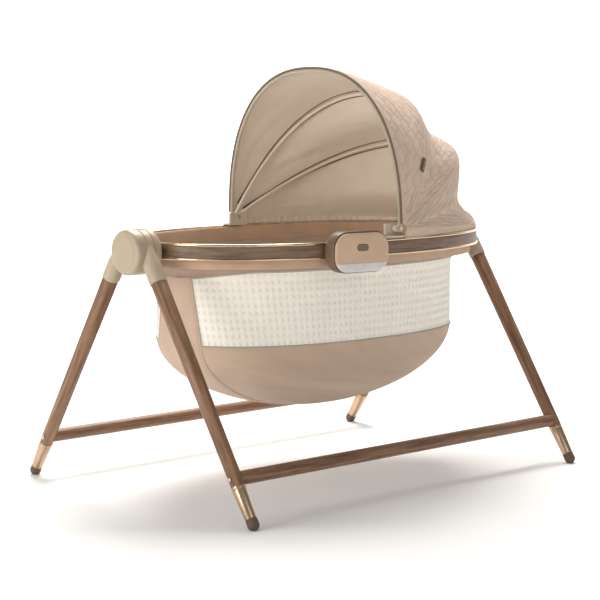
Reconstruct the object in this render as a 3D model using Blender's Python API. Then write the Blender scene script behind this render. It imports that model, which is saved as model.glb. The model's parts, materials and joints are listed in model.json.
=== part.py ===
"""A bassinet that swings on a folding stand.

Metres, +Z up. The origin is on the floor under the middle of the cot. X runs along the cot, with the
canopy at +X, and the control unit is on the -Y side, which is called the front.
"""

import math

import bmesh
import bpy
from mathutils import Matrix, Vector

# Clearances between pieces that touch or turn in each other
GAP = 0.0003
RUNNING_GAP = 0.0010
SEAM_GAP = 0.0006

# Stand
HUB_HEIGHT = 0.532
FOOT_SPREAD = 0.380
LEG_APEX_ABOVE_HUB = 0.0615
FRONT_LEG_INSET = 0.0325
REAR_LEG_INSET = 0.0255
LEG_TOP_RADIUS = 0.0175
LEG_BOTTOM_RADIUS = 0.0146
SOCKET_END = 0.1454
SPIGOT_RADIUS = 0.0118
SPIGOT_LENGTH = 0.034
TENON_RADIUS = 0.0102
TENON_LENGTH = 0.028
FERRULE_BOTTOM_Z = 0.021
FERRULE_TOP_Z = 0.081
FERRULE_BOTTOM_RADIUS = 0.0122
FOOT_RADIUS = 0.0125
FOOT_PAD_RADIUS = 0.0072
FOOT_STEM_RADIUS = 0.0070
FOOT_STEM_LENGTH = 0.014
RAIL_HEIGHT = 0.095
RAIL_SLIMMER_THAN_LEG = 0.0001
BOLT_RADIUS = 0.003
BOLT_HEAD_RADIUS = 0.0052
BOLT_HEAD_HEIGHT = 0.0028
BOLT_REACH = 0.022

# Hubs: three round castings side by side at each end, from the outside in
HUB_RADIUS = 0.0486
REAR_HUB_WIDTH = 0.029
FRONT_HUB_WIDTH = 0.019
HANGER_WIDTH = 0.0215
HUB_BEYOND_RIM = 0.0735
AXLE_RADIUS = 0.006
AXLE_HEAD_RADIUS = 0.0095
AXLE_HEAD_HEIGHT = 0.004
AXLE_INTO_REAR_HUB = 0.020
BUSH_WALL = 0.0032
RELEASE_WIDTH = 0.012
RELEASE_LENGTH = 0.026
RELEASE_HEIGHT = 0.010
RELEASE_PROUD = 0.0012
RELEASE_TRAVEL = 0.004

# Rim of the cot
RIM_LENGTH = 0.911
RIM_WIDTH = 0.569
RIM_BELOW_HUB = 0.0133
RIM_ABOVE_HUB = 0.0169
RIM_POWER = 2.33
BEAD_RADIUS = 0.0032
BAND_RECESS = 0.0022
BAND_THICKNESS = 0.011

# Fabric body of the cot
BODY_SHORTER_THAN_RIM = 0.1316
BODY_SLIMMER_THAN_RIM = 0.1076
BODY_POWER = 2.29
FABRIC = 0.003
FABRIC_INSIDE_RIM = 0.006
TOP_BAND_HEIGHT = 0.0317
FLARE_BELOW_BAND = 0.037
FLARE_POWER = 4
WINDOW_HEIGHT = 0.1605
BASE_DEPTH = 0.1695
BASE_WALL = 0.004
BASE_LENGTH_POWER = 1.82
BASE_WIDTH_POWER = 2.03
WINDOW_END_Y = 0.060
BOARD_BELOW_WINDOW = 0.0205
BOARD_THICKNESS = 0.005
BOARD_CLEARANCE = 0.004
MATTRESS_THICKNESS = 0.034
MATTRESS_CLEARANCE = 0.006

# Canopy
CANOPY_PIVOT_X = 0.012
PIVOT_ABOVE_RIM = 0.0231
CANOPY_POWER = 2.35
BOW_RADIUS = 0.004
BOW_PITCH = 0.0070
BOW_EYE_RADIUS = 0.008
BOW_EYE_WIDTH = 0.005
FRONT_BOW_INSIDE_RIM = 0.0035
FRONT_BOW_LENGTH = 0.345
MIDDLE_BOW_LENGTH = 0.352
REAR_BOW_LENGTH = 0.396
FRONT_BOW_TILT = math.radians(-1.0)
MIDDLE_BOW_TILT = math.radians(33.4)
REAR_BOW_TILT = math.radians(63.0)
HEM_TILT = math.radians(91.6)
HEM_INSIDE_END = 0.010
HEM_INSIDE_SIDE = 0.008
PANEL_SAG = 0.006
PANEL_CLEARANCE = 0.0015
BRACKET_LENGTH = 0.052
BRACKET_WALL = 0.005
PIVOT_PIN_RADIUS = 0.0028

# Control unit on the front of the rim
CONTROL_X = -0.134
CONTROL_WIDTH = 0.148
CONTROL_ABOVE_RIM = 0.0266
CONTROL_HEIGHT = 0.0885
CONTROL_CORNER = 0.030
CONTROL_DEPTH = 0.034
CONTROL_WALL = 0.0025
FACE_MARGIN = 0.0045
FACE_THICKNESS = 0.005
DIFFUSER_HEIGHT = 0.021
BUTTON_LENGTH = 0.030
BUTTON_HEIGHT = 0.0145
BUTTON_ABOVE_BOTTOM = 0.054
BUTTON_TRAVEL = 0.0015
BOARD_MARGIN = 0.020
BOARD_LOW, BOARD_HIGH = 0.028, 0.075
CIRCUIT_THICKNESS = 0.0016
SPEAKER_ALONG = 0.040
BATTERY_ALONG = -0.030
BATTERY_HALF_LENGTH = 0.032
BATTERY_HALF_HEIGHT = 0.016
BATTERY_DEPTH = 0.018

SIDES = 16
HUB_SIDES = 24
BORE_TURN = math.radians(4)
RIM_STEPS = 40
LEFT, RIGHT = -1, 1
FRONT, REAR = -1, 1
SIDE_NAMES = {LEFT: "left", RIGHT: "right"}

# Places that follow from the sizes above
LEG_APEX = HUB_HEIGHT + LEG_APEX_ABOVE_HUB
RAIL_RADIUS = LEG_BOTTOM_RADIUS - RAIL_SLIMMER_THAN_LEG
HUB_OUTER_X = RIM_LENGTH / 2 + HUB_BEYOND_RIM
FRONT_LEG_X = HUB_OUTER_X - FRONT_LEG_INSET
REAR_LEG_X = HUB_OUTER_X - REAR_LEG_INSET
REAR_HUB_X = HUB_OUTER_X - REAR_HUB_WIDTH
FRONT_HUB_OUTER_X = REAR_HUB_X - RUNNING_GAP / 2
FRONT_HUB_INNER_X = FRONT_HUB_OUTER_X - FRONT_HUB_WIDTH
HANGER_OUTER_X = FRONT_HUB_INNER_X - RUNNING_GAP / 2
HANGER_INNER_X = HANGER_OUTER_X - HANGER_WIDTH
RIM_BOTTOM_Z = HUB_HEIGHT - RIM_BELOW_HUB
RIM_TOP_Z = HUB_HEIGHT + RIM_ABOVE_HUB
BODY_LENGTH = RIM_LENGTH - BODY_SHORTER_THAN_RIM
BODY_WIDTH = RIM_WIDTH - BODY_SLIMMER_THAN_RIM
BAND_BOTTOM_Z = RIM_BOTTOM_Z - TOP_BAND_HEIGHT
WINDOW_BOTTOM_Z = BAND_BOTTOM_Z - WINDOW_HEIGHT
BASE_BOTTOM_Z = WINDOW_BOTTOM_Z - BASE_DEPTH
BOARD_Z = WINDOW_BOTTOM_Z - BOARD_BELOW_WINDOW
CANOPY_PIVOT_Z = RIM_TOP_Z + PIVOT_ABOVE_RIM
FRONT_BOW_HALF_WIDTH = RIM_WIDTH / 2 - FRONT_BOW_INSIDE_RIM
MIDDLE_BOW_HALF_WIDTH = FRONT_BOW_HALF_WIDTH - BOW_PITCH
REAR_BOW_HALF_WIDTH = MIDDLE_BOW_HALF_WIDTH - BOW_PITCH
BOWS = {
    "front": (FRONT_BOW_TILT, FRONT_BOW_LENGTH, FRONT_BOW_HALF_WIDTH),
    "middle": (MIDDLE_BOW_TILT, MIDDLE_BOW_LENGTH, MIDDLE_BOW_HALF_WIDTH),
    "rear": (REAR_BOW_TILT, REAR_BOW_LENGTH, REAR_BOW_HALF_WIDTH),
    "hem": (HEM_TILT, RIM_LENGTH / 2 - CANOPY_PIVOT_X - HEM_INSIDE_END,
            RIM_WIDTH / 2 - HEM_INSIDE_SIDE),
}
CONTROL_TOP_Z = RIM_TOP_Z + CONTROL_ABOVE_RIM
CONTROL_BOTTOM_Z = CONTROL_TOP_Z - CONTROL_HEIGHT
FACE_BOTTOM_Z = CONTROL_BOTTOM_Z + DIFFUSER_HEIGHT
BUTTON_Z = CONTROL_BOTTOM_Z + BUTTON_ABOVE_BOTTOM


for old in list(bpy.data.objects):
    bpy.data.objects.remove(old, do_unlink=True)


def material(name, colour, roughness, metallic=0.0):
    made = bpy.data.materials.new(name)
    made.use_nodes = True
    shader = made.node_tree.nodes["Principled BSDF"]
    shader.inputs["Base Color"].default_value = (*colour, 1.0)
    shader.inputs["Roughness"].default_value = roughness
    shader.inputs["Metallic"].default_value = metallic
    return made


WOOD = material("walnut", (0.20, 0.105, 0.062), 0.5)
CREAM = material("cream plastic", (0.62, 0.53, 0.42), 0.45)
GOLD = material("bronze metal", (0.52, 0.36, 0.22), 0.25, 1.0)
STEEL = material("bright steel", (0.62, 0.60, 0.57), 0.3, 1.0)
RUBBER = material("brown rubber", (0.06, 0.035, 0.022), 0.8)
FABRIC_BEIGE = material("beige fabric", (0.55, 0.42, 0.33), 0.9)
MESH_CREAM = material("cream mesh", (0.75, 0.70, 0.60), 0.9)
WHITE_PAD = material("white jersey", (0.82, 0.80, 0.76), 0.9)
BOARD = material("fibre board", (0.35, 0.25, 0.16), 0.8)
BROWN = material("brown plastic", (0.22, 0.13, 0.09), 0.4)
BEIGE = material("beige plastic", (0.52, 0.38, 0.29), 0.45)
DIFFUSER = material("white diffuser", (0.85, 0.84, 0.84), 0.4)
GREEN = material("circuit board", (0.03, 0.16, 0.07), 0.6)
BLACK = material("black plastic", (0.02, 0.02, 0.02), 0.5)


def pivot(name, x=0.0, y=0.0, z=0.0, parent=None):
    """An empty on a body's joint axis, which carries the pieces of that body."""
    empty = bpy.data.objects.new(name, None)
    empty.empty_display_size = 0.03
    bpy.context.scene.collection.objects.link(empty)
    empty.location = (x, y, z)
    if parent:
        empty.parent = parent
        empty.location = Vector((x, y, z)) - world_place(parent)
    return empty


def world_place(empty):
    place = Vector(empty.location)
    while empty.parent:
        empty = empty.parent
        place += empty.location
    return place


def piece(name, bm, finish, body, smooth_angle=35.0):
    """An object in world coordinates, hung on its body's empty, with its faces turned outwards."""
    bmesh.ops.remove_doubles(bm, verts=bm.verts, dist=1e-6)
    bmesh.ops.recalc_face_normals(bm, faces=bm.faces)
    bmesh.ops.translate(bm, verts=bm.verts, vec=-world_place(body))
    mesh = bpy.data.meshes.new(name)
    bm.to_mesh(mesh)
    bm.free()
    mesh.shade_smooth()
    mesh.set_sharp_from_angle(angle=math.radians(smooth_angle))
    mesh.materials.append(finish)
    made = bpy.data.objects.new(name, mesh)
    bpy.context.scene.collection.objects.link(made)
    made.parent = body
    return made


def cutter(name, bm, body):
    made = piece(name, bm, BLACK, body)
    made.hide_render = True
    made.display_type = "WIRE"
    return made


def boolean(target, other, operation="DIFFERENCE"):
    modifier = target.modifiers.new(other.name, "BOOLEAN")
    modifier.operation = operation
    modifier.solver = "EXACT"
    modifier.object = other
    return target


def along(start, direction):
    """The matrix that puts Z along direction, with its origin at start."""
    turn = Vector(direction).normalized().to_track_quat("Z", "Y").to_matrix().to_4x4()
    return Matrix.Translation(start) @ turn


def turned(profile, start, direction, sides=SIDES, closed=False):
    """A solid of revolution: profile is (distance along the axis, radius), from axis to axis or closed."""
    bm = bmesh.new()
    points = [bm.verts.new((radius, 0.0, distance)) for distance, radius in profile]
    edges = [bm.edges.new(pair) for pair in zip(points, points[1:])]
    if closed:
        edges.append(bm.edges.new((points[-1], points[0])))
    bmesh.ops.spin(bm, geom=points + edges, cent=(0, 0, 0), axis=(0, 0, 1), angle=2 * math.pi,
                   steps=sides, use_merge=True)
    bmesh.ops.remove_doubles(bm, verts=bm.verts, dist=1e-6)
    bmesh.ops.transform(bm, verts=bm.verts, matrix=along(start, direction))
    return bm


def rod(start, end, radius, sides=SIDES):
    start, end = Vector(start), Vector(end)
    length = (end - start).length
    return turned([(0, 0), (0, radius), (length, radius), (length, 0)], start, end - start, sides)


def block(low, high, bevel=0.0):
    bm = bmesh.new()
    bmesh.ops.create_cube(bm, size=1.0)
    size = Vector(high) - Vector(low)
    middle = (Vector(high) + Vector(low)) / 2
    bmesh.ops.scale(bm, verts=bm.verts, vec=size)
    bmesh.ops.translate(bm, verts=bm.verts, vec=middle)
    if bevel:
        bmesh.ops.bevel(bm, geom=bm.edges[:], offset=bevel, segments=2, affect="EDGES", profile=0.5)
    return bm


def skin(loops, closed=False):
    """Faces between loops of points, one after the other. A loop of one point is a pole."""
    bm = bmesh.new()
    rings = [[bm.verts.new(point) for point in loop] for loop in loops]
    pairs = list(zip(rings, rings[1:]))
    if closed:
        pairs.append((rings[-1], rings[0]))
    for one, two in pairs:
        count = max(len(one), len(two))
        for i in range(count):
            j = (i + 1) % count
            corners = [one[i % len(one)], one[j % len(one)], two[j % len(two)], two[i % len(two)]]
            bm.faces.new(list(dict.fromkeys(corners)))
    if not closed:
        for ring in (rings[0], rings[-1]):
            if len(ring) > 1:
                bm.faces.new(ring)
    return bm


def sheet(surface, columns, rows, thickness, closed=False):
    """A closed shell under a surface(u, v), with u and v from 0 to 1, at one thickness inside it."""
    inside = []
    outside = []
    for j in range(rows + 1):
        for i in range(columns if closed else columns + 1):
            u, v = i / columns, j / rows
            here = surface(u, v)
            across = surface(u + 0.002, v) - surface(u - 0.002, v)
            down = surface(u, min(v + 0.002, 1.0)) - surface(u, max(v - 0.002, 0.0))
            normal = across.cross(down).normalized()
            outside.append(here)
            inside.append(here - normal * thickness)
    bm = bmesh.new()
    width = columns if closed else columns + 1
    outer = [bm.verts.new(point) for point in outside]
    inner = [bm.verts.new(point) for point in inside]

    def at(layer, i, j):
        return layer[j * width + i % width]

    for j in range(rows):
        for i in range(columns):
            bm.faces.new([at(outer, i, j), at(outer, i + 1, j), at(outer, i + 1, j + 1), at(outer, i, j + 1)])
            bm.faces.new([at(inner, i, j), at(inner, i, j + 1), at(inner, i + 1, j + 1), at(inner, i + 1, j)])
    for j in (0, rows):
        for i in range(columns):
            bm.faces.new([at(outer, i, j), at(inner, i, j), at(inner, i + 1, j), at(outer, i + 1, j)])
    if not closed:
        for i in (0, columns):
            for j in range(rows):
                bm.faces.new([at(outer, i, j), at(outer, i, j + 1), at(inner, i, j + 1), at(inner, i, j)])
    return bm


def power_curve(angle, half_length, half_width, power):
    """A point of a superellipse, a rounder or squarer oval."""
    along_x, along_y = math.cos(angle), math.sin(angle)
    return (math.copysign(half_length * abs(along_x) ** (2 / power), along_x),
            math.copysign(half_width * abs(along_y) ** (2 / power), along_y))


# ---------------------------------------------------------------- bodies

front_frame = pivot("front_frame")
rear_frame = pivot("rear_frame", z=HUB_HEIGHT)
basket = pivot("basket", z=HUB_HEIGHT)
canopy_bodies = {name: pivot(name + "_bow_pivot", CANOPY_PIVOT_X, 0, CANOPY_PIVOT_Z, basket)
                 for name in ("rear", "middle", "front")}


# ---------------------------------------------------------------- stand

def leg_point(side, end, height):
    """The point at this height on a leg's axis."""
    x = side * (FRONT_LEG_X if end == FRONT else REAR_LEG_X)
    return Vector((x, end * FOOT_SPREAD * (1 - height / LEG_APEX), height))


def leg_direction(end):
    return (leg_point(LEFT, end, LEG_APEX) - leg_point(LEFT, end, 0)).normalized()


def make_leg(side, end, name, body):
    up = leg_direction(end)
    shoulder = leg_point(side, end, FERRULE_TOP_Z)
    top = leg_point(side, end, LEG_APEX) - up * SOCKET_END
    length = (top - shoulder).length
    leg = turned([(-TENON_LENGTH, 0), (-TENON_LENGTH, TENON_RADIUS), (GAP, TENON_RADIUS),
                  (GAP, LEG_BOTTOM_RADIUS), (length - GAP, LEG_TOP_RADIUS), (length - GAP, SPIGOT_RADIUS),
                  (length + SPIGOT_LENGTH, SPIGOT_RADIUS), (length + SPIGOT_LENGTH, 0)], shoulder, up)
    made = piece("leg_" + name, leg, WOOD, body)

    ferrule_start = leg_point(side, end, FERRULE_BOTTOM_Z)
    tall = (shoulder - ferrule_start).length
    web = FOOT_STEM_LENGTH + GAP
    ferrule = turned([(web, 0), (web, FOOT_STEM_RADIUS + GAP), (0, FOOT_STEM_RADIUS + GAP),
                      (0, FERRULE_BOTTOM_RADIUS), (tall, LEG_BOTTOM_RADIUS + 0.0004),
                      (tall, TENON_RADIUS + GAP), (tall - TENON_LENGTH - GAP, TENON_RADIUS + GAP),
                      (tall - TENON_LENGTH - GAP, 0)], ferrule_start, up)
    piece("ferrule_" + name, ferrule, GOLD, body)

    # The foot is a ball round the leg's axis, cut flat by the floor
    centre_z = math.sqrt(FOOT_RADIUS ** 2 - FOOT_PAD_RADIUS ** 2)
    reach = (ferrule_start - leg_point(side, end, centre_z)).length - GAP
    dome = [(-FOOT_RADIUS * math.cos(step * math.pi / 8), FOOT_RADIUS * math.sin(step * math.pi / 8))
            for step in range(5)]
    foot = turned([(dome[0][0], 0)] + dome[1:] + [(reach, FERRULE_BOTTOM_RADIUS), (reach, FOOT_STEM_RADIUS),
                  (reach + FOOT_STEM_LENGTH, FOOT_STEM_RADIUS), (reach + FOOT_STEM_LENGTH, 0)],
                  leg_point(side, end, centre_z), up)
    cut = bmesh.ops.bisect_plane(foot, geom=foot.verts[:] + foot.edges[:] + foot.faces[:],
                                 plane_co=(0, 0, 0), plane_no=(0, 0, 1), clear_inner=True)
    rim = [item for item in cut["geom_cut"] if isinstance(item, bmesh.types.BMEdge)]
    bmesh.ops.contextual_create(foot, geom=rim)
    piece("foot_" + name, foot, RUBBER, body)

    # The bolt runs through the leg into the end of the rail
    at_rail = leg_point(side, end, RAIL_HEIGHT)
    out = Vector((side, 0, 0))
    head = at_rail + out * (LEG_BOTTOM_RADIUS + 0.0006)
    bore_start = head + out * 0.002
    bore_end = at_rail - out * (LEG_BOTTOM_RADIUS + BOLT_REACH + 0.001)
    bore = cutter("rail_bolt_bore_" + name, rod(bore_start, bore_end, BOLT_RADIUS + GAP, 10), body)
    boolean(made, bore)
    bolt_length = LEG_BOTTOM_RADIUS * 2 + BOLT_REACH
    bolt = turned([(-BOLT_HEAD_HEIGHT, 0), (-BOLT_HEAD_HEIGHT, BOLT_HEAD_RADIUS * 0.7),
                   (-BOLT_HEAD_HEIGHT * 0.6, BOLT_HEAD_RADIUS), (0, BOLT_HEAD_RADIUS), (0, BOLT_RADIUS),
                   (bolt_length, BOLT_RADIUS), (bolt_length, 0)], head, -out, 10)
    piece("rail_bolt_" + name, bolt, STEEL, body)
    return bore


def make_rail(end, name, body, bores):
    """A round rail whose ends are hollowed to sit against the legs."""
    up = leg_direction(end)
    across = Vector((0, up.z, -up.y))
    clear = LEG_BOTTOM_RADIUS + 0.0003 + GAP
    middle = leg_point(RIGHT, end, RAIL_HEIGHT)

    def ring(side, radius):
        points = []
        for i in range(SIDES if radius else 1):
            turn = 2 * math.pi * i / SIDES
            offset = Vector((0, radius * math.cos(turn), radius * math.sin(turn)))
            beside = offset.dot(across)
            x = middle.x - math.sqrt(clear ** 2 - beside ** 2)
            points.append(Vector((side * x, middle.y, middle.z)) + offset)
        return points

    # Rings spaced evenly in angle round the leg keep each facet close to the leg's surface
    widest = math.asin(RAIL_RADIUS / clear)
    radii = [clear * math.sin(widest * step / 5) for step in range(6)]
    loops = [ring(LEFT, radius) for radius in radii] + [ring(RIGHT, radius) for radius in reversed(radii)]
    made = piece("rail_" + name, skin(loops), WOOD, body)
    for bore in bores:
        boolean(made, bore)


for end, end_name, body in ((FRONT, "front", front_frame), (REAR, "rear", rear_frame)):
    rail_bores = [make_leg(side, end, end_name + "_" + SIDE_NAMES[side], body) for side in (LEFT, RIGHT)]
    make_rail(end, end_name, body, rail_bores)


# ---------------------------------------------------------------- hubs

def hub_disc(side, inner_x, outer_x, outer_round, inner_round):
    """A disc on the hub axis with rounded outer edges, from its inner face to its outer face."""
    width = outer_x - inner_x

    def rounded_edge(size, steps):
        turns = [math.pi / 2 * step / steps for step in range(steps + 1)]
        return [(size * (1 - math.sin(turn)), HUB_RADIUS - size * (1 - math.cos(turn))) for turn in turns]

    inner = rounded_edge(inner_round, 2)[::-1]
    outer = [(width - depth, radius) for depth, radius in rounded_edge(outer_round, 3)]
    profile = [(0, 0)] + inner + outer + [(width, 0)]
    return turned(profile, (side * inner_x, 0, HUB_HEIGHT), (side, 0, 0), HUB_SIDES)


def hub_arm(side, end):
    """The tapered socket that takes the top of a leg, and the bore for the leg's spigot."""
    up = leg_direction(end)
    mouth = leg_point(side, end, LEG_APEX) - up * SOCKET_END
    length = SOCKET_END - LEG_APEX_ABOVE_HUB * up.z
    arm = turned([(0, 0), (0, LEG_TOP_RADIUS), (0.0015, LEG_TOP_RADIUS + 0.0018),
                  (length * 0.45, LEG_TOP_RADIUS + 0.0016), (length, 0.0140), (length, 0)], mouth, up)
    bore = rod(mouth - up * 0.002, mouth + up * (SPIGOT_LENGTH + 0.0005), SPIGOT_RADIUS + GAP)
    return arm, bore


def make_hub(side, end, name, body):
    inner_x, outer_x = (FRONT_HUB_INNER_X, FRONT_HUB_OUTER_X) if end == FRONT else (REAR_HUB_X, HUB_OUTER_X)
    outer_round = 0.0008 if end == FRONT else 0.009
    casting = piece("hub_" + name, hub_disc(side, inner_x, outer_x, outer_round, 0.0008), CREAM, body)
    arm, bore = hub_arm(side, end)
    boolean(casting, cutter("hub_arm_" + name, arm, body), "UNION")
    boolean(casting, cutter("hub_socket_" + name, bore, body))
    # Room for the neighbours' discs to turn
    past = 0.0015
    skim = 0.0002
    spaces = [(HANGER_INNER_X - past, inner_x - skim)]
    if end == FRONT:
        spaces.append((outer_x + skim, HUB_OUTER_X + past))
    for number, (low, high) in enumerate(spaces):
        room = rod((side * low, 0, HUB_HEIGHT), (side * high, 0, HUB_HEIGHT), HUB_RADIUS + RUNNING_GAP,
                   HUB_SIDES)
        boolean(casting, cutter(f"hub_room_{name}_{number}", room, body))
    bore_radius = AXLE_RADIUS + BUSH_WALL + 2 * GAP if end == FRONT else AXLE_RADIUS + GAP
    bore_end = outer_x + past if end == FRONT else inner_x + AXLE_INTO_REAR_HUB + GAP
    axle_bore = rod((side * (inner_x - past), 0, HUB_HEIGHT), (side * bore_end, 0, HUB_HEIGHT), bore_radius)
    # Its facets are turned off those of the casting, so that no cut runs along an edge
    bmesh.ops.rotate(axle_bore, verts=axle_bore.verts, cent=(0, 0, HUB_HEIGHT),
                     matrix=Matrix.Rotation(BORE_TURN, 3, "X"))
    boolean(casting, cutter("hub_bore_" + name, axle_bore, body))
    return casting


def make_release_button(side, casting, body):
    """A push button in the top of the front hub that frees the rear legs to fold."""
    name = SIDE_NAMES[side]
    centre = side * (FRONT_HUB_INNER_X + FRONT_HUB_OUTER_X) / 2
    top = HUB_HEIGHT + HUB_RADIUS + RELEASE_PROUD
    half_width, half_length = RELEASE_WIDTH / 2, RELEASE_LENGTH / 2
    body_empty = pivot("release_pivot_" + name, centre, 0, top - RELEASE_HEIGHT, body)
    low = (centre - half_width, -half_length, top - RELEASE_HEIGHT)
    button = piece("release_button_" + name, block(low, (centre + half_width, half_length, top + 0.01)),
                   CREAM, body_empty)
    crown = rod((centre - RELEASE_WIDTH, 0, HUB_HEIGHT), (centre + RELEASE_WIDTH, 0, HUB_HEIGHT),
                HUB_RADIUS + RELEASE_PROUD, 2 * HUB_SIDES)
    boolean(button, cutter("release_crown_" + name, crown, body_empty), "INTERSECT")
    room = 0.0004
    pocket = block((centre - half_width - room, -half_length - room, low[2] - RELEASE_TRAVEL - 0.001),
                   (centre + half_width + room, half_length + room, top + 0.01))
    boolean(casting, cutter("release_pocket_" + name, pocket, body))


def make_hanger(side, body):
    """The inner casting, which carries one end of the rim on the axle."""
    name = SIDE_NAMES[side]
    disc = hub_disc(side, HANGER_INNER_X, HANGER_OUTER_X, 0.0008, 0.012)
    hanger = piece("basket_hanger_" + name, disc, CREAM, body)
    bore = rod((side * (HANGER_INNER_X - 0.01), 0, HUB_HEIGHT), (side * (HANGER_OUTER_X + 0.01), 0, HUB_HEIGHT),
               AXLE_RADIUS + GAP)
    boolean(hanger, cutter("hanger_bore_" + name, bore, body))
    # The band's end is a flat facet, a little inside the oval
    inside = BAND_RECESS + BAND_THICKNESS
    end_x, _ = power_curve(math.pi / RIM_STEPS, RIM_LENGTH / 2 - inside, RIM_WIDTH / 2 - inside, RIM_POWER)
    head_x = end_x - GAP
    tip_x = REAR_HUB_X + AXLE_INTO_REAR_HUB
    axle = turned([(-AXLE_HEAD_HEIGHT, 0), (-AXLE_HEAD_HEIGHT, AXLE_HEAD_RADIUS - 0.001),
                   (-AXLE_HEAD_HEIGHT + 0.001, AXLE_HEAD_RADIUS), (0, AXLE_HEAD_RADIUS), (0, AXLE_RADIUS),
                   (tip_x - head_x - 0.001, AXLE_RADIUS), (tip_x - head_x, AXLE_RADIUS - 0.001),
                   (tip_x - head_x, 0)], (side * head_x, 0, HUB_HEIGHT), (side, 0, 0))
    piece("hub_axle_" + name, axle, STEEL, body)


def make_bush(side, body):
    inner, outer = AXLE_RADIUS + GAP, AXLE_RADIUS + BUSH_WALL + GAP
    width = FRONT_HUB_WIDTH - 2 * GAP
    bush = turned([(0, inner), (0, outer), (width, outer), (width, inner)],
                  (side * (FRONT_HUB_INNER_X + GAP), 0, HUB_HEIGHT), (side, 0, 0), closed=True)
    piece("swing_bush_" + SIDE_NAMES[side], bush, BLACK, body)


for side in (LEFT, RIGHT):
    make_hub(side, REAR, "rear_" + SIDE_NAMES[side], rear_frame)
    front_hub = make_hub(side, FRONT, "front_" + SIDE_NAMES[side], front_frame)
    make_release_button(side, front_hub, front_frame)
    make_hanger(side, basket)
    make_bush(side, front_frame)


# ---------------------------------------------------------------- rim

def rim_ring(inset, z, section):
    """Loops of a section (outward, up) carried round the rim at this inset and height."""
    loops = []
    for step in range(RIM_STEPS):
        angle = 2 * math.pi * (step + 0.5) / RIM_STEPS
        x, y = power_curve(angle, RIM_LENGTH / 2 - inset, RIM_WIDTH / 2 - inset, RIM_POWER)
        ahead = power_curve(angle + 0.01, RIM_LENGTH / 2 - inset, RIM_WIDTH / 2 - inset, RIM_POWER)
        behind = power_curve(angle - 0.01, RIM_LENGTH / 2 - inset, RIM_WIDTH / 2 - inset, RIM_POWER)
        outward = Vector((ahead[1] - behind[1], behind[0] - ahead[0], 0)).normalized()
        loops.append([Vector((x, y, z + up)) + outward * out for out, up in section])
    return loops


bead_section = [(BEAD_RADIUS * math.cos(math.pi * i / 3), BEAD_RADIUS * math.sin(math.pi * i / 3))
                for i in range(6)]
for name, z in (("rim_top_bead", RIM_TOP_Z), ("rim_bottom_bead", RIM_BOTTOM_Z)):
    piece(name, skin(rim_ring(BEAD_RADIUS, z, bead_section), closed=True), GOLD, basket, 50)

half_band = (RIM_TOP_Z - RIM_BOTTOM_Z) / 2 - BEAD_RADIUS - GAP
band_section = [(-BAND_THICKNESS, -half_band), (0, -half_band), (0, half_band), (-BAND_THICKNESS, half_band)]
rim_band = piece("rim_band", skin(rim_ring(BAND_RECESS, (RIM_TOP_Z + RIM_BOTTOM_Z) / 2, band_section),
                                  closed=True), WOOD, basket)
for side in (LEFT, RIGHT):
    reach = RIM_LENGTH / 2
    hole = rod((side * (reach - 0.03), 0, HUB_HEIGHT), (side * (reach + 0.01), 0, HUB_HEIGHT),
               AXLE_RADIUS + GAP)
    boolean(rim_band, cutter("rim_axle_hole_" + SIDE_NAMES[side], hole, basket))


# ---------------------------------------------------------------- fabric body

def flare(z):
    """How far the wall has spread from its own oval, 0, towards the rim's, 1, at a height under the rim."""
    start = BAND_BOTTOM_Z - FLARE_BELOW_BAND
    share = max(0.0, min(1.0, (z - start) / (RIM_BOTTOM_Z - start)))
    return share ** FLARE_POWER


def wall_point(angle, z):
    spread = flare(z)
    half_length = BODY_LENGTH / 2 * (1 - spread) + (RIM_LENGTH / 2 - FABRIC_INSIDE_RIM) * spread
    half_width = BODY_WIDTH / 2 * (1 - spread) + (RIM_WIDTH / 2 - FABRIC_INSIDE_RIM) * spread
    return Vector((*power_curve(angle, half_length, half_width, BODY_POWER), z))


def base_point(angle, z):
    """The hull of the base: it narrows faster along the cot than across it."""
    depth = (WINDOW_BOTTOM_Z - z) / (WINDOW_BOTTOM_Z - BASE_BOTTOM_Z)
    half_length = BODY_LENGTH / 2 * (1 - depth ** BASE_LENGTH_POWER) ** (1 / BASE_LENGTH_POWER)
    half_width = BODY_WIDTH / 2 * (1 - depth ** BASE_WIDTH_POWER) ** (1 / BASE_WIDTH_POWER)
    return Vector((*power_curve(angle, half_length, half_width, BODY_POWER), z))


def lerp(low, high, share):
    return low + (high - low) * share


def wall_piece(name, first_angle, last_angle, low, high, columns, rows, finish, closed=False):
    def surface(u, v):
        return wall_point(lerp(first_angle, last_angle, u), lerp(low, high, v))
    piece(name, sheet(surface, columns, rows, FABRIC, closed), finish, basket)


band_top = RIM_BOTTOM_Z - BEAD_RADIUS - 2 * GAP
wall_piece("top_band", 0, 2 * math.pi, BAND_BOTTOM_Z + SEAM_GAP, band_top, RIM_STEPS, 3, FABRIC_BEIGE, True)

end_angle = math.asin((WINDOW_END_Y / (BODY_WIDTH / 2)) ** (BODY_POWER / 2))
seam_angle = 0.004
wall_low, wall_high = WINDOW_BOTTOM_Z + SEAM_GAP / 2, BAND_BOTTOM_Z
for name, start in (("back", 0.0), ("front", math.pi)):
    wall_piece("mesh_window_" + name, start + end_angle + seam_angle, start + math.pi - end_angle - seam_angle,
               wall_low, wall_high, 20, 3, MESH_CREAM)
for side, start in ((RIGHT, 0.0), (LEFT, math.pi)):
    wall_piece("end_panel_" + SIDE_NAMES[side], start - end_angle, start + end_angle, wall_low, wall_high,
               4, 3, FABRIC_BEIGE)


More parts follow.
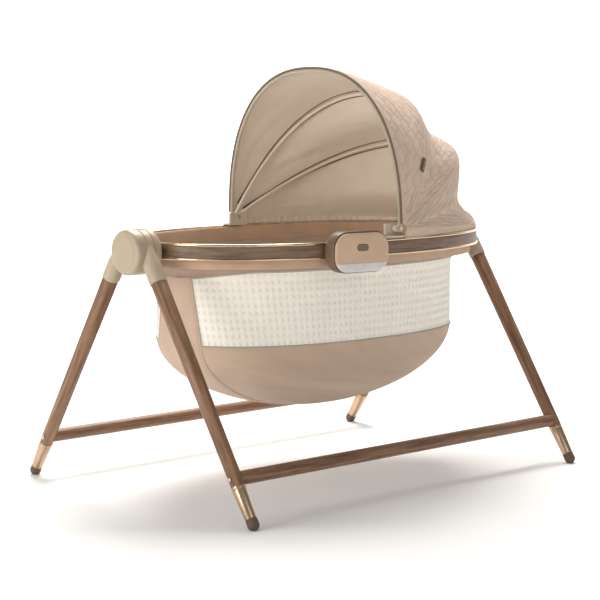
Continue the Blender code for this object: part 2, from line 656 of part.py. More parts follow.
def base_shell():
    """A bowl with an even wall, whose bottom is closed at a pole."""
    rows = 6
    top, bottom = WINDOW_BOTTOM_Z - SEAM_GAP / 2, BASE_BOTTOM_Z
    heights = [lerp(top, bottom, math.sin(math.pi / 2 * row / rows)) for row in range(rows)]
    outer, inner = [], []
    for z in heights:
        loop = [base_point(2 * math.pi * i / RIM_STEPS, z) for i in range(RIM_STEPS)]
        outer.append(loop)
        inner.append([Vector((p.x - BASE_WALL * p.x / (math.hypot(p.x, p.y) + 1e-9),
                              p.y - BASE_WALL * p.y / (math.hypot(p.x, p.y) + 1e-9),
                              lerp(bottom + BASE_WALL, top, (z - bottom) / (top - bottom)))) for p in loop])
    loops = ([[Vector((0, 0, bottom))]] + outer[::-1] + inner + [[Vector((0, 0, bottom + BASE_WALL))]])
    return skin(loops)


piece("base_shell", base_shell(), FABRIC_BEIGE, basket)


def flat_oval(clearance, low, high, edge):
    """A flat pad of the body's oval, with rounded edges."""
    half_length = BODY_LENGTH / 2 - FABRIC - clearance
    half_width = BODY_WIDTH / 2 - FABRIC - clearance
    loops = []
    for inset, z in ((edge, low), (0, low + edge), (0, high - edge), (edge, high)):
        loops.append([Vector((*power_curve(2 * math.pi * i / RIM_STEPS, half_length - inset,
                                           half_width - inset, BODY_POWER), z)) for i in range(RIM_STEPS)])
    return skin(loops)


# The board lies inside the bowl, where the bowl has already narrowed a little
narrowed = max(BODY_WIDTH / 2 - base_point(math.pi / 2, BOARD_Z).y,
               BODY_LENGTH / 2 - base_point(0, BOARD_Z).x)
board_inset = narrowed + BASE_WALL - FABRIC + BOARD_CLEARANCE
piece("mattress_board", flat_oval(board_inset, BOARD_Z, BOARD_Z + BOARD_THICKNESS, 0.001), BOARD, basket)
mattress_low = BOARD_Z + BOARD_THICKNESS + GAP
piece("mattress", flat_oval(MATTRESS_CLEARANCE + board_inset / 2, mattress_low,
                            mattress_low + MATTRESS_THICKNESS, 0.008), WHITE_PAD, basket)


# ---------------------------------------------------------------- canopy

def hoop_point(bow, turn, outward=0.0, sag=0.0):
    """A point of a bow, or of the fabric between bows: turn runs from 0 at one pivot to pi at the other."""
    tilt, length, half_width = bow
    rise, across = math.sin(turn), math.cos(turn)
    reach = (length + outward - sag) * rise ** (2 / CANOPY_POWER) if rise > 0 else 0.0
    y = math.copysign((half_width + outward) * abs(across) ** (2 / CANOPY_POWER), across)
    return Vector((CANOPY_PIVOT_X + reach * math.sin(tilt), y, CANOPY_PIVOT_Z + reach * math.cos(tilt)))


def make_bow(name, pin_bores):
    """A bent tube that flattens into an eye at each pivot."""
    bow = BOWS[name]
    tilt = bow[0]
    body = canopy_bodies[name]
    steps = 20
    sides = 6
    in_plane_up = Vector((math.sin(tilt), 0, math.cos(tilt)))
    sideways = Vector((math.cos(tilt), 0, -math.sin(tilt)))
    loops = []
    eye_low = Vector((0, 0, 0)) - in_plane_up * (BOW_EYE_RADIUS - 0.001)
    for step in range(-1, steps + 2):
        turn = math.pi * min(max(step / steps, 0), 1)
        centre = hoop_point(bow, turn)
        tip = step in (-1, steps + 1)
        if tip:
            centre = centre + eye_low
        eye = step < 1 or step > steps - 1
        before, after = hoop_point(bow, max(turn - 0.02, 0)), hoop_point(bow, min(turn + 0.02, math.pi))
        run = (after - before).normalized()
        if eye:
            run = in_plane_up if turn < 1 else -in_plane_up
        normal = run.cross(sideways).normalized()
        wide = BOW_EYE_RADIUS if eye else BOW_RADIUS
        if tip:
            wide = BOW_EYE_RADIUS * 0.5
        thick = BOW_EYE_WIDTH / 2 if eye else BOW_RADIUS
        loops.append([centre + sideways * (wide * math.cos(2 * math.pi * (i + 0.5) / sides))
                      + normal * (thick * math.sin(2 * math.pi * (i + 0.5) / sides)) for i in range(sides)])
    made = piece(name + "_bow", skin(loops), BROWN if name == "front" else CREAM, body, 50)
    for bore in pin_bores:
        boolean(made, bore)


def panel(name, first, last, body):
    """Fabric stretched from one bow to the next, with a slight sag between them."""
    lift = BOW_RADIUS + PANEL_CLEARANCE + FABRIC
    low_turn = 0.055

    def surface(u, v):
        bow = tuple(lerp(one, two, lerp(0.012, 0.988, v)) for one, two in zip(BOWS[first], BOWS[last]))
        return hoop_point(bow, lerp(low_turn, math.pi - low_turn, u), lift, PANEL_SAG * math.sin(math.pi * v))

    piece(name, sheet(surface, 24, 3, FABRIC), FABRIC_BEIGE, body, 60)


pin_bores = []
for side, name in ((FRONT, "front"), (REAR, "back")):
    foot_z = RIM_TOP_Z + BEAD_RADIUS + GAP
    innermost = REAR_BOW_HALF_WIDTH - BOW_RADIUS - RUNNING_GAP
    outermost = FRONT_BOW_HALF_WIDTH + BOW_EYE_WIDTH / 2
    low_x, high_x = CANOPY_PIVOT_X - BRACKET_LENGTH / 2, CANOPY_PIVOT_X + BRACKET_LENGTH / 2
    plate = block((low_x, side * innermost - (BRACKET_WALL if side > 0 else 0), foot_z),
                  (high_x, side * innermost + (BRACKET_WALL if side < 0 else 0),
                   CANOPY_PIVOT_Z + BOW_EYE_RADIUS + 0.002))
    bracket = piece("canopy_bracket_" + name, plate, CREAM, basket)
    flat_y = sorted((side * (innermost - BRACKET_WALL / 2), side * (RIM_WIDTH / 2 - 0.001)))
    foot = block((low_x, flat_y[0], foot_z), (high_x, flat_y[1], foot_z + 0.004))
    boolean(bracket, cutter("canopy_bracket_foot_" + name, foot, basket), "UNION")
    bore = rod((CANOPY_PIVOT_X, side * (innermost - 0.02), CANOPY_PIVOT_Z),
               (CANOPY_PIVOT_X, side * (outermost + 0.02), CANOPY_PIVOT_Z), PIVOT_PIN_RADIUS + GAP, 12)
    bore = cutter("canopy_pin_bore_" + name, bore, basket)
    boolean(bracket, bore)
    pin_bores.append(bore)
    start_y = innermost - BRACKET_WALL - GAP
    length = outermost - start_y + 0.001
    pin = turned([(-0.002, 0), (-0.002, 0.0045), (-0.0008, 0.0055), (0, 0.0055), (0, PIVOT_PIN_RADIUS),
                  (length, PIVOT_PIN_RADIUS), (length, 0.0050), (length + 0.0015, 0.0042),
                  (length + 0.0015, 0)], (CANOPY_PIVOT_X, side * start_y, CANOPY_PIVOT_Z), (0, side, 0), 12)
    piece("canopy_pivot_pin_" + name, pin, STEEL, basket)

for name in ("front", "middle", "rear"):
    make_bow(name, pin_bores)
panel("canopy_front_panel", "front", "middle", canopy_bodies["front"])
panel("canopy_middle_panel", "middle", "rear", canopy_bodies["middle"])
panel("canopy_rear_panel", "rear", "hem", canopy_bodies["rear"])


# ---------------------------------------------------------------- control unit

control_share = abs(CONTROL_X) / (RIM_LENGTH / 2)
rim_share = 1 - control_share ** RIM_POWER
rim_slope = math.atan2(RIM_WIDTH / RIM_LENGTH * control_share ** (RIM_POWER - 1),
                       rim_share ** (1 - 1 / RIM_POWER))
rim_depth = RIM_WIDTH / 2 * rim_share ** (1 / RIM_POWER)
# The unit's own frame: X along the rim, Y out of its face, Z up
control_frame = (Matrix.Translation((CONTROL_X, -rim_depth, 0)) @ Matrix.Rotation(-rim_slope, 4, "Z")
                 @ Matrix.Rotation(math.pi, 4, "Z"))
control_back = 0.0035


def rounded_outline(half_width, low, high, corner, steps=4):
    """A rectangle with round corners, as (along, up) points."""
    points = []
    for sign_x, sign_z, start in ((1, 1, 0), (-1, 1, 90), (-1, -1, 180), (1, -1, 270)):
        for step in range(steps + 1):
            turn = math.radians(start + 90 * step / steps)
            points.append((sign_x * (half_width - corner) + corner * math.cos(turn),
                           (high - corner if sign_z > 0 else low + corner) + corner * math.sin(turn)))
    return points


def plate_between(outline, back, front, edge=0.0):
    """An outline extruded out of the unit's face, with its front edge eased."""
    centre_x = sum(x for x, _ in outline) / len(outline)
    centre_z = sum(z for _, z in outline) / len(outline)

    def loop(y, shrink):
        points = []
        for x, z in outline:
            away = Vector((x - centre_x, z - centre_z))
            away = away * (1 - shrink / away.length)
            points.append(control_frame @ Vector((centre_x + away.x, y, centre_z + away.y)))
        return points

    levels = [(back, 0), (front - edge, 0)] + ([(front, edge)] if edge else [])
    return skin([loop(y, shrink) for y, shrink in levels])


half = CONTROL_WIDTH / 2
case_front = control_back + CONTROL_DEPTH
shell = rounded_outline(half, CONTROL_BOTTOM_Z, CONTROL_TOP_Z, CONTROL_CORNER)
hollow = rounded_outline(half - CONTROL_WALL, CONTROL_BOTTOM_Z + CONTROL_WALL, CONTROL_TOP_Z - CONTROL_WALL,
                         CONTROL_CORNER - CONTROL_WALL)
housing = piece("control_housing", plate_between(shell, control_back, case_front), BROWN, basket)
boolean(housing, cutter("control_hollow", plate_between(hollow, control_back + CONTROL_WALL,
                                                        case_front + 0.01), basket))

lid_half = half - FACE_MARGIN
lid_corner = CONTROL_CORNER - FACE_MARGIN
lid_low, lid_high = CONTROL_BOTTOM_Z + FACE_MARGIN / 2, CONTROL_TOP_Z - FACE_MARGIN
lid = rounded_outline(lid_half, lid_low, lid_high, lid_corner)
lid_back, lid_front = case_front + GAP, case_front + GAP + FACE_THICKNESS
for name, finish, low, high in (("control_face", BEIGE, FACE_BOTTOM_Z + GAP, CONTROL_TOP_Z),
                                ("light_diffuser", DIFFUSER, CONTROL_BOTTOM_Z - 0.01, FACE_BOTTOM_Z)):
    made = piece(name, plate_between(lid, lid_back, lid_front, 0.0015), finish, basket)
    keep = plate_between([(-half, low), (half, low), (half, high), (-half, high)], lid_back - 0.01,
                         lid_front + 0.01)
    boolean(made, cutter(name + "_share", keep, basket), "INTERSECT")
    if name == "control_face":
        face = made

button_outline = rounded_outline(BUTTON_LENGTH / 2, BUTTON_Z - BUTTON_HEIGHT / 2, BUTTON_Z + BUTTON_HEIGHT / 2,
                                 BUTTON_HEIGHT / 2 - 0.0002)
opening_outline = rounded_outline(BUTTON_LENGTH / 2 + 0.0004, BUTTON_Z - BUTTON_HEIGHT / 2 - 0.0004,
                                  BUTTON_Z + BUTTON_HEIGHT / 2 + 0.0004, BUTTON_HEIGHT / 2)
boolean(face, cutter("button_opening", plate_between(opening_outline, lid_back - 0.005, lid_front + 0.005),
                     basket))
button_place = control_frame @ Vector((0, lid_front, BUTTON_Z))
button_body = pivot("button_pivot", *button_place, parent=basket)
piece("control_button", plate_between(button_outline, lid_back - 0.001, lid_front + 0.0004, 0.0006), BLACK,
      button_body)

board_front = lid_back - 0.001 - BUTTON_TRAVEL - 0.0012
board_outline = rounded_outline(half - BOARD_MARGIN, CONTROL_BOTTOM_Z + BOARD_LOW,
                                CONTROL_BOTTOM_Z + BOARD_HIGH, 0.003, 1)
piece("circuit_board", plate_between(board_outline, board_front - CIRCUIT_THICKNESS, board_front), GREEN,
      basket)
speaker_start = control_frame @ Vector((SPEAKER_ALONG, control_back + CONTROL_WALL + GAP, BUTTON_Z))
speaker = turned([(0, 0), (0, 0.009), (0.008, 0.010), (0.013, 0.018), (0.016, 0.018), (0.016, 0)],
                 speaker_start, control_frame.to_3x3() @ Vector((0, 1, 0)))
piece("speaker", speaker, BLACK, basket)
battery_outline = rounded_outline(BATTERY_HALF_LENGTH, BUTTON_Z - BATTERY_HALF_HEIGHT,
                                  BUTTON_Z + BATTERY_HALF_HEIGHT, 0.004, 2)
battery_outline = [(x + BATTERY_ALONG, z) for x, z in battery_outline]
piece("battery_pack", plate_between(battery_outline, control_back + CONTROL_WALL + GAP,
                                    control_back + CONTROL_WALL + BATTERY_DEPTH), BLACK, basket)
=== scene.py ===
# %% [markdown]
# # A bassinet that swings on a folding walnut stand
# The real thing is a fabric cot hung between two A-shaped wooden ends. A bronze-trimmed rim carries the
# cloth, a fan-shaped canopy folds back over one end, and a small control box sits on the front rail.
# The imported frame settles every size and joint, so this lesson only makes surfaces that fit over it.

# %% The frame
import json
import math

import bmesh
import bpy
import numpy as np
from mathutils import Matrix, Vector


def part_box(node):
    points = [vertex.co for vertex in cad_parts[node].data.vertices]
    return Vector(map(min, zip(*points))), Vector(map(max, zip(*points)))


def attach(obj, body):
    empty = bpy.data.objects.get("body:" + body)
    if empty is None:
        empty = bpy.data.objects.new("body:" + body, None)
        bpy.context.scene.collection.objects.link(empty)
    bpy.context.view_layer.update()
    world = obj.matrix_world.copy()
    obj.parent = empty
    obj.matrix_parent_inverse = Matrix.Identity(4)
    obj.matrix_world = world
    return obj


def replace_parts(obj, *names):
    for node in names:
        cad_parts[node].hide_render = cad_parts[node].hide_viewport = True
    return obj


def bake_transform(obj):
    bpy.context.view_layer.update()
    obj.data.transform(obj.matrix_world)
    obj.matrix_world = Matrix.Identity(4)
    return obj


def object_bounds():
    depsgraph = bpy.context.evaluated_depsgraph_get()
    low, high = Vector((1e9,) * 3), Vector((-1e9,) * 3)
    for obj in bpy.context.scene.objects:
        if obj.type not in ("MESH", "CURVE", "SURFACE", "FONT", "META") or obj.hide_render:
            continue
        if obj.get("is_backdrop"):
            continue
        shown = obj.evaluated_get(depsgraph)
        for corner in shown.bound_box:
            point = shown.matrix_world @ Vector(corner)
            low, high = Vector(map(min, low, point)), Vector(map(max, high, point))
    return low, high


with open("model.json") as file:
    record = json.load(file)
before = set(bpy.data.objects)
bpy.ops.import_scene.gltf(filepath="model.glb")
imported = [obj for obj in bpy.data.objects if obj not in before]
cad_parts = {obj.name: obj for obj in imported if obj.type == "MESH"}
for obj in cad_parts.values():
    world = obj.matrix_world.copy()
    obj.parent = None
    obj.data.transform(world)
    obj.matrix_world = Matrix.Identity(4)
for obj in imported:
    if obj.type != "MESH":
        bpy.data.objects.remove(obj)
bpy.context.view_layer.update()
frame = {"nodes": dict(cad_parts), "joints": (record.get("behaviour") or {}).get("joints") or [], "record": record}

joints = {joint["name"]: joint for joint in frame["joints"]}
mounts = {mount["name"]: mount for mount in frame["record"]["mounts"]}

# %% [markdown]
# ## Light and camera
# A cot like this is shown in a white studio: a bright floor that fades into a bright wall, one large
# soft light overhead and a little behind, a low one on the left that reaches under the canopy, and
# little light from the camera's own side. A long lens from low down keeps the legs nearly parallel.
# Standard colour keeps the white floor white.

# %% Camera
CAMERA_TURN, CAMERA_RISE = math.radians(-42.7392), math.radians(6.3231)
CAMERA_DISTANCE = 4.1362
CAMERA_LENS = 108.26
look_at = Vector((-0.025, 0.0, 0.3949))
back = Vector((math.sin(CAMERA_TURN) * math.cos(CAMERA_RISE),
               -math.cos(CAMERA_TURN) * math.cos(CAMERA_RISE), math.sin(CAMERA_RISE)))
camera = bpy.data.objects.new("camera", bpy.data.cameras.new("camera"))
camera.data.lens = CAMERA_LENS
camera.data.clip_end = 60.0
camera.location = look_at + back * CAMERA_DISTANCE
camera.rotation_euler = back.to_track_quat("Z", "Y").to_euler()
bpy.context.scene.collection.objects.link(camera)
bpy.context.scene.camera = camera
bpy.context.scene.view_settings.view_transform = "Standard"
print("the camera stands", [round(value, 2) for value in camera.location])


# %% Lights
def soft_light(name, place, aim, width, height, power, tint=(1.0, 0.97, 0.93)):
    """A rectangular soft box at a place, facing a point."""
    lamp = bpy.data.lights.new(name, "AREA")
    lamp.shape = "RECTANGLE"
    lamp.size, lamp.size_y, lamp.energy, lamp.color = width, height, power, tint
    made = bpy.data.objects.new(name, lamp)
    made.location = place
    made.rotation_euler = (Vector(place) - Vector(aim)).to_track_quat("Z", "Y").to_euler()
    bpy.context.scene.collection.objects.link(made)


soft_light("high_left_box", (-2.6, 0.3, 2.9), (0.0, 0.0, 0.4), 2.0, 2.0, 20)
soft_light("overhead_box", (1.0, 1.2, 3.2), (0.1, 0.0, 0.5), 1.8, 1.8, 165)
soft_light("front_fill", (-1.0, -3.6, 1.6), (0.0, 0.0, 0.5), 1.6, 1.2, 13)
soft_light("low_left_box", (-3.3, 0.3, 1.0), (0.1, 0.05, 0.72), 1.3, 1.3, 40)
world = bpy.data.worlds.new("studio air")
world.use_nodes = True
world.node_tree.nodes["Background"].inputs["Color"].default_value = (1.0, 0.985, 0.965, 1.0)
world.node_tree.nodes["Background"].inputs["Strength"].default_value = 0.27
bpy.context.scene.world = world
print("four soft boxes and pale air")

# %% [markdown]
# ## Tools for finishes
# Every finish is a small node tree on one principled shader. Noise stretched along the grain makes
# wood, a fine product of waves makes cloth, and a little noise in the roughness keeps plastic and
# metal from looking like paint. The pattern reads either the object's own coordinates or, on pieces
# whose grain or weave follows their shape, a vector that each point carries.


# %% Node helpers
def add(tree, kind, inputs=None, **settings):
    """A node with its settings, and its inputs given as numbers or linked from sockets."""
    node = tree.nodes.new(kind)
    for key, value in settings.items():
        setattr(node, key, value)
    for key, value in (inputs or {}).items():
        if isinstance(value, bpy.types.NodeSocket):
            tree.links.new(value, node.inputs[key])
        else:
            node.inputs[key].default_value = value
    return node


def pattern_place(tree, carried=None):
    """The vector that a pattern follows: one that the piece carries, or its own coordinates."""
    if carried:
        return add(tree, "ShaderNodeAttribute", attribute_name=carried).outputs["Vector"]
    return add(tree, "ShaderNodeTexCoord").outputs["Object"]


print("a finish is a tree of small nodes")


# %% Patterns and finishes
def noise(tree, place, scale, detail=3.0, stretch=(1.0, 1.0, 1.0)):
    mapped = add(tree, "ShaderNodeMapping", {"Vector": place, "Scale": stretch})
    texture = add(tree, "ShaderNodeTexNoise",
                  {"Vector": mapped.outputs["Vector"], "Scale": scale, "Detail": detail})
    return texture.outputs["Fac"]


def maths(tree, operation, first, second=0.0):
    return add(tree, "ShaderNodeMath", {0: first, 1: second}, operation=operation).outputs["Value"]


def spread(tree, value, low, high):
    """A 0 to 1 pattern turned into a range, with its faint ends widened."""
    ranged = add(tree, "ShaderNodeMapRange",
                 {"Value": value, "From Min": 0.3, "From Max": 0.7, "To Min": low, "To Max": high})
    return ranged.outputs["Result"]


def shades(tree, value, *stops):
    """A colour ramp through (position, colour) stops."""
    node = add(tree, "ShaderNodeValToRGB", {"Fac": value})
    elements = node.color_ramp.elements
    while len(elements) < len(stops):
        elements.new(0.5)
    for element, (position, colour) in zip(elements, stops):
        element.position = position
        element.color = (*colour, 1.0)
    return node.outputs["Color"]


def relief(tree, shader, height, depth):
    """A bump of this depth in metres."""
    bump = add(tree, "ShaderNodeBump", {"Height": height, "Distance": depth, "Strength": 1.0})
    tree.links.new(bump.outputs["Normal"], shader.inputs["Normal"])


def finish(name, **uniform):
    """A material, its tree and its shader, with the settings that are the same all over."""
    made = bpy.data.materials.new(name)
    made.use_nodes = True
    shader = made.node_tree.nodes["Principled BSDF"]
    for key, value in uniform.items():
        shader.inputs[key.replace("_", " ")].default_value = value
    return made, made.node_tree, shader


def paint(tree, shader, colour=None, roughness=None):
    for key, socket in (("Base Color", colour), ("Roughness", roughness)):
        if socket:
            tree.links.new(socket, shader.inputs[key])


print("patterns, colour ramps and relief ready")

# %% [markdown]
# ## Walnut
# The legs, rails and rim band are oiled walnut. Its grain is long streaks with dark, thin pores, so
# two noises are stretched along the piece. Each wooden piece carries its own "grain" vector, across
# and along, because the legs slant and the rim bends.

# %% Walnut
def walnut(name, dark, middle, light):
    made, tree, shader = finish(name, Coat_Weight=0.12, Coat_Roughness=0.35)
    grain = pattern_place(tree, "grain")
    streaks = noise(tree, grain, 1.0, 5.0, (170.0, 170.0, 9.0))
    pores = noise(tree, grain, 1.0, 2.0, (900.0, 900.0, 40.0))
    both = maths(tree, "ADD", maths(tree, "MULTIPLY", streaks, 0.72), maths(tree, "MULTIPLY", pores, 0.28))
    paint(tree, shader, shades(tree, both, (0.34, dark), (0.50, middle), (0.66, light)),
          spread(tree, pores, 0.40, 0.56))
    relief(tree, shader, pores, 0.00012)
    return made


WALNUT = walnut("walnut", (0.100, 0.044, 0.020), (0.205, 0.102, 0.049), (0.310, 0.168, 0.086))
RIM_WALNUT = walnut("rim walnut", (0.085, 0.044, 0.024), (0.160, 0.090, 0.050), (0.225, 0.132, 0.078))
print("walnut for the stand, and a darker one for the rim")

# %% [markdown]
# ## Moulded plastic, rubber and metals
# The hubs are cream plastic with the fine spark texture of a mould. The trim is polished bronze with
# hair-thin polishing lines, the screws are steel, and the feet are brown rubber.

# %% Plastic, rubber and metal
def moulded(name, colour, roughness, texture=0.00005, scale=1400.0):
    """Plastic with a fine mould texture and a slight change of shade."""
    made, tree, shader = finish(name)
    place = pattern_place(tree)
    cloud = noise(tree, place, 14.0, 3.0)
    speck = noise(tree, place, scale, 2.0)
    darker = tuple(value * 0.93 for value in colour)
    lighter = tuple(min(value * 1.05, 1.0) for value in colour)
    paint(tree, shader, shades(tree, cloud, (0.35, darker), (0.65, lighter)),
          spread(tree, speck, roughness - 0.05, roughness + 0.06))
    relief(tree, shader, speck, texture)
    return made


def polished(name, colour, roughness):
    """Metal with fine polishing lines, which show as a faint change of gloss."""
    made, tree, shader = finish(name, Metallic=1.0)
    place = pattern_place(tree)
    lines = noise(tree, place, 1.0, 3.0, (90.0, 90.0, 2200.0))
    cloud = noise(tree, place, 22.0, 2.0)
    darker = tuple(value * 0.90 for value in colour)
    paint(tree, shader, shades(tree, cloud, (0.38, darker), (0.62, colour)),
          spread(tree, lines, roughness - 0.03, roughness + 0.05))
    relief(tree, shader, lines, 0.00001)
    return made


CREAM_PLASTIC = moulded("cream plastic", (0.420, 0.338, 0.240), 0.44)
PALE_PLASTIC = moulded("pale plastic", (0.600, 0.515, 0.405), 0.44)
BROWN_PLASTIC = moulded("brown plastic", (0.130, 0.076, 0.046), 0.42)
BEIGE_PLASTIC = moulded("beige plastic", (0.560, 0.385, 0.260), 0.46)
DARK_PLASTIC = moulded("dark plastic", (0.170, 0.110, 0.062), 0.50)
CASE_PLASTIC = moulded("black plastic", (0.030, 0.029, 0.028), 0.55)
RUBBER = moulded("brown rubber", (0.130, 0.082, 0.054), 0.72, 0.00010, 700.0)
BRONZE = polished("bronze", (0.600, 0.445, 0.300), 0.17)
SATIN_BRONZE = polished("satin bronze", (0.560, 0.400, 0.275), 0.30)
STEEL = polished("bright steel", (0.600, 0.585, 0.560), 0.26)
print("plastics, rubber and metals are mixed")

# %% [markdown]
# ## Cloth
# The cot is covered in a close beige knit, the canopy in the same knit quilted, the windows in a cream
# eyelet knit over fine netting, and the mattress in white jersey. Each cloth piece carries a "cloth"
# vector in metres along its two directions, so the weave keeps its scale and follows the surface.
# Quilted pieces also carry a number that is 1 in a sewn line, where shade is painted into the colour.

# %% Cloth
def woven(name, colour, pitch, depth=0.00018, groove=False, rough=0.88, sheen=0.25, worn=1.0,
          **uniform):
    """Cloth with a small crossed weave, worn a little lighter and darker in patches; quilted cloth gets painted
    shade in its sewn lines.
    """
    made, tree, shader = finish(name, Sheen_Weight=sheen, Sheen_Roughness=0.55, **uniform)
    place = pattern_place(tree, "cloth")
    turns = add(tree, "ShaderNodeVectorMath", {0: place, 1: (math.tau / pitch,) * 3}, operation="MULTIPLY")
    parts = add(tree, "ShaderNodeSeparateXYZ", {"Vector": turns.outputs["Vector"]})
    weave = maths(tree, "MULTIPLY", maths(tree, "SINE", parts.outputs["X"]),
                  maths(tree, "SINE", parts.outputs["Y"]))
    patches = noise(tree, place, 16.0, 4.0)
    fibres = noise(tree, place, 1.0, 2.0, (1300.0, 500.0, 900.0))
    mixed = maths(tree, "ADD", maths(tree, "MULTIPLY", patches, 0.6), maths(tree, "MULTIPLY", fibres, 0.4))
    darker = tuple(value * (1 - 0.14 * worn) for value in colour)
    lighter = tuple(min(value * (1 + 0.10 * worn), 1.0) for value in colour)
    tone = shades(tree, mixed, (0.36, darker), (0.50, colour), (0.64, lighter))
    # Painted shade: along sewn lines and gathers the colour darkens towards two thirds of itself, standing in for
    # shade in the grooves.
    if groove:
        sewn = add(tree, "ShaderNodeAttribute", attribute_name="groove").outputs["Fac"]
        shaded = tuple(value * 0.66 for value in colour)
        tone = add(tree, "ShaderNodeMix", {"Factor": maths(tree, "MULTIPLY", sewn, 0.42), "A": tone,
                                           "B": (*shaded, 1.0)}, data_type="RGBA").outputs["Result"]
    paint(tree, shader, tone, spread(tree, fibres, rough - 0.05, rough + 0.05))
    relief(tree, shader, maths(tree, "ADD", weave, maths(tree, "MULTIPLY", fibres, 1.5)), depth)
    return made


KNIT = woven("beige knit", (0.640, 0.465, 0.340), 0.0011, worn=0.5)
BAND_KNIT = woven("beige band", (0.500, 0.350, 0.262), 0.0011)
QUILTED = woven("quilted knit", (0.690, 0.510, 0.385), 0.0013, groove=True)
LINING = woven("canopy lining", (0.900, 0.780, 0.650), 0.0009, sheen=0.1, worn=0.35)
LINER = woven("rim liner", (0.640, 0.430, 0.290), 0.0011)
PIPING = woven("brown piping", (0.190, 0.125, 0.080), 0.0009, 0.0001, sheen=0.05)
BINDING = woven("window binding", (0.520, 0.450, 0.350), 0.0010)
THREAD = woven("sewing thread", (0.600, 0.480, 0.370), 0.0006, 0.0001)
EYELET = woven("eyelet knit", (0.950, 0.900, 0.810), 0.0012, 0.00008, worn=0.25)
NETTING = woven("fine netting", (0.950, 0.895, 0.790), 0.0016, 0.0001, worn=0.25, Alpha=0.95)
JERSEY = woven("white jersey", (0.860, 0.830, 0.770), 0.0010)
LEATHER = moulded("brown leather", (0.130, 0.075, 0.040), 0.55, 0.00025, 900.0)
print("eleven cloths and one leather")

# %% [markdown]
# ## Finishes for what the cloth and covers hide
# The mattress lies on fibre board, and the control unit holds a green circuit board with copper tracks
# behind a milky diffuser. The frame's own solids already have the right shape for these, so most of them
# are kept and only given a finish.

# %% Hidden finishes
def fibre_board():
    made, tree, shader = finish("fibre board")
    place = pattern_place(tree)
    chips = noise(tree, place, 260.0, 4.0)
    paint(tree, shader, shades(tree, chips, (0.35, (0.24, 0.16, 0.10)), (0.65, (0.42, 0.31, 0.20))),
          spread(tree, chips, 0.75, 0.9))
    relief(tree, shader, chips, 0.0002)
    return made


def circuit():
    made, tree, shader = finish("green circuit board")
    place = pattern_place(tree)
    green, bright_green, copper = (0.02, 0.13, 0.05, 1), (0.03, 0.17, 0.07, 1), (0.34, 0.26, 0.10, 1)
    tracks = add(tree, "ShaderNodeTexBrick", {"Vector": place, "Scale": 160.0, "Mortar Size": 0.08,
                                              "Color1": green, "Color2": bright_green, "Mortar": copper})
    paint(tree, shader, tracks.outputs["Color"], spread(tree, noise(tree, place, 90.0), 0.4, 0.6))
    relief(tree, shader, tracks.outputs["Fac"], 0.00008)
    return made


def frosted():
    """The light strip's diffuser: milky plastic that lets a little light in."""
    made, tree, shader = finish("frosted diffuser", Subsurface_Weight=0.25, Subsurface_Scale=0.004)
    place = pattern_place(tree)
    cloud = noise(tree, place, 30.0, 2.0)
    paint(tree, shader, shades(tree, cloud, (0.35, (0.58, 0.545, 0.530)), (0.65, (0.66, 0.625, 0.605))),
          spread(tree, noise(tree, place, 1500.0), 0.34, 0.44))
    relief(tree, shader, noise(tree, place, 1500.0), 0.00003)
    return made


BOARD, CIRCUIT, DIFFUSER = fibre_board(), circuit(), frosted()
hidden = {"hub_axle_left": STEEL, "hub_axle_right": STEEL, "swing_bush_left": CASE_PLASTIC,
          "swing_bush_right": CASE_PLASTIC, "mattress_board": BOARD, "circuit_board": CIRCUIT,
          "speaker": CASE_PLASTIC, "battery_pack": CASE_PLASTIC}
for node_name, made in hidden.items():
    frame["nodes"][node_name].material_slots[0].material = made
print(len(hidden), "hidden frame nodes refinished")

# %% [markdown]
# ## Tools for shapes
# Nearly every surface here is a grid of points worked out from a formula: a lathe turns a profile, a
# shell gives cloth its thickness, and a tube follows a path. NumPy works out the whole grid at once,
# and one function turns it into a closed mesh whose faces point outwards.


# %% Grids and closed meshes
def grid_faces(rows, columns, wrap=False):
    across = columns if wrap else columns - 1
    row, column = np.meshgrid(np.arange(rows - 1), np.arange(across), indexing="ij")
    ahead = (column + 1) % columns
    quads = [row * columns + column, row * columns + ahead,
             (row + 1) * columns + ahead, (row + 1) * columns + column]
    return np.stack(quads, -1).reshape(-1, 4)


def make(name, points, faces, finish_used, carried=None, sharp=40.0, inner_from=None, inner_finish=None):
    """A piece from points and faces. carried holds the vectors or numbers that its pattern follows."""
    mesh = bpy.data.meshes.new(name)
    corners = np.asarray(points, float).reshape(-1, 3).tolist()
    mesh.from_pydata(corners, [], [list(map(int, face)) for face in faces])
    mesh.materials.append(finish_used)
    if inner_finish:
        mesh.materials.append(inner_finish)
        index = np.zeros(len(mesh.polygons), np.int32)
        index[inner_from:] = 1
        mesh.polygons.foreach_set("material_index", index)
    for label, values in (carried or {}).items():
        carry(mesh, label, values)
    made = bpy.data.objects.new(name, mesh)
    bpy.context.scene.collection.objects.link(made)
    return tidy(made, sharp)


# %% A mesh's points, patterns and modifiers
def points_of(mesh):
    """A mesh's points, one row of x, y and z each."""
    spots = np.empty(len(mesh.vertices) * 3, np.float32)
    mesh.vertices.foreach_get("co", spots)
    return spots.reshape(-1, 3)


def carry(mesh, label, values):
    """Gives each point of a mesh a number or a vector that a pattern follows."""
    values = np.asarray(values, np.float32)
    vector = values.ndim > 1
    layer = mesh.attributes.new(label, "FLOAT_VECTOR" if vector else "FLOAT", "POINT")
    layer.data.foreach_set("vector" if vector else "value", values.ravel())


def tidy(made, sharp=40.0):
    """Merges doubled points, turns the faces outwards and smooths all but the sharp edges."""
    bm = bmesh.new()
    bm.from_mesh(made.data)
    bmesh.ops.remove_doubles(bm, verts=bm.verts, dist=1e-6)
    bmesh.ops.dissolve_degenerate(bm, edges=bm.edges, dist=1e-7)
    bmesh.ops.recalc_face_normals(bm, faces=bm.faces)
    bm.to_mesh(made.data)
    bm.free()
    made.data.shade_smooth()
    made.data.set_sharp_from_angle(angle=math.radians(sharp))
    return made


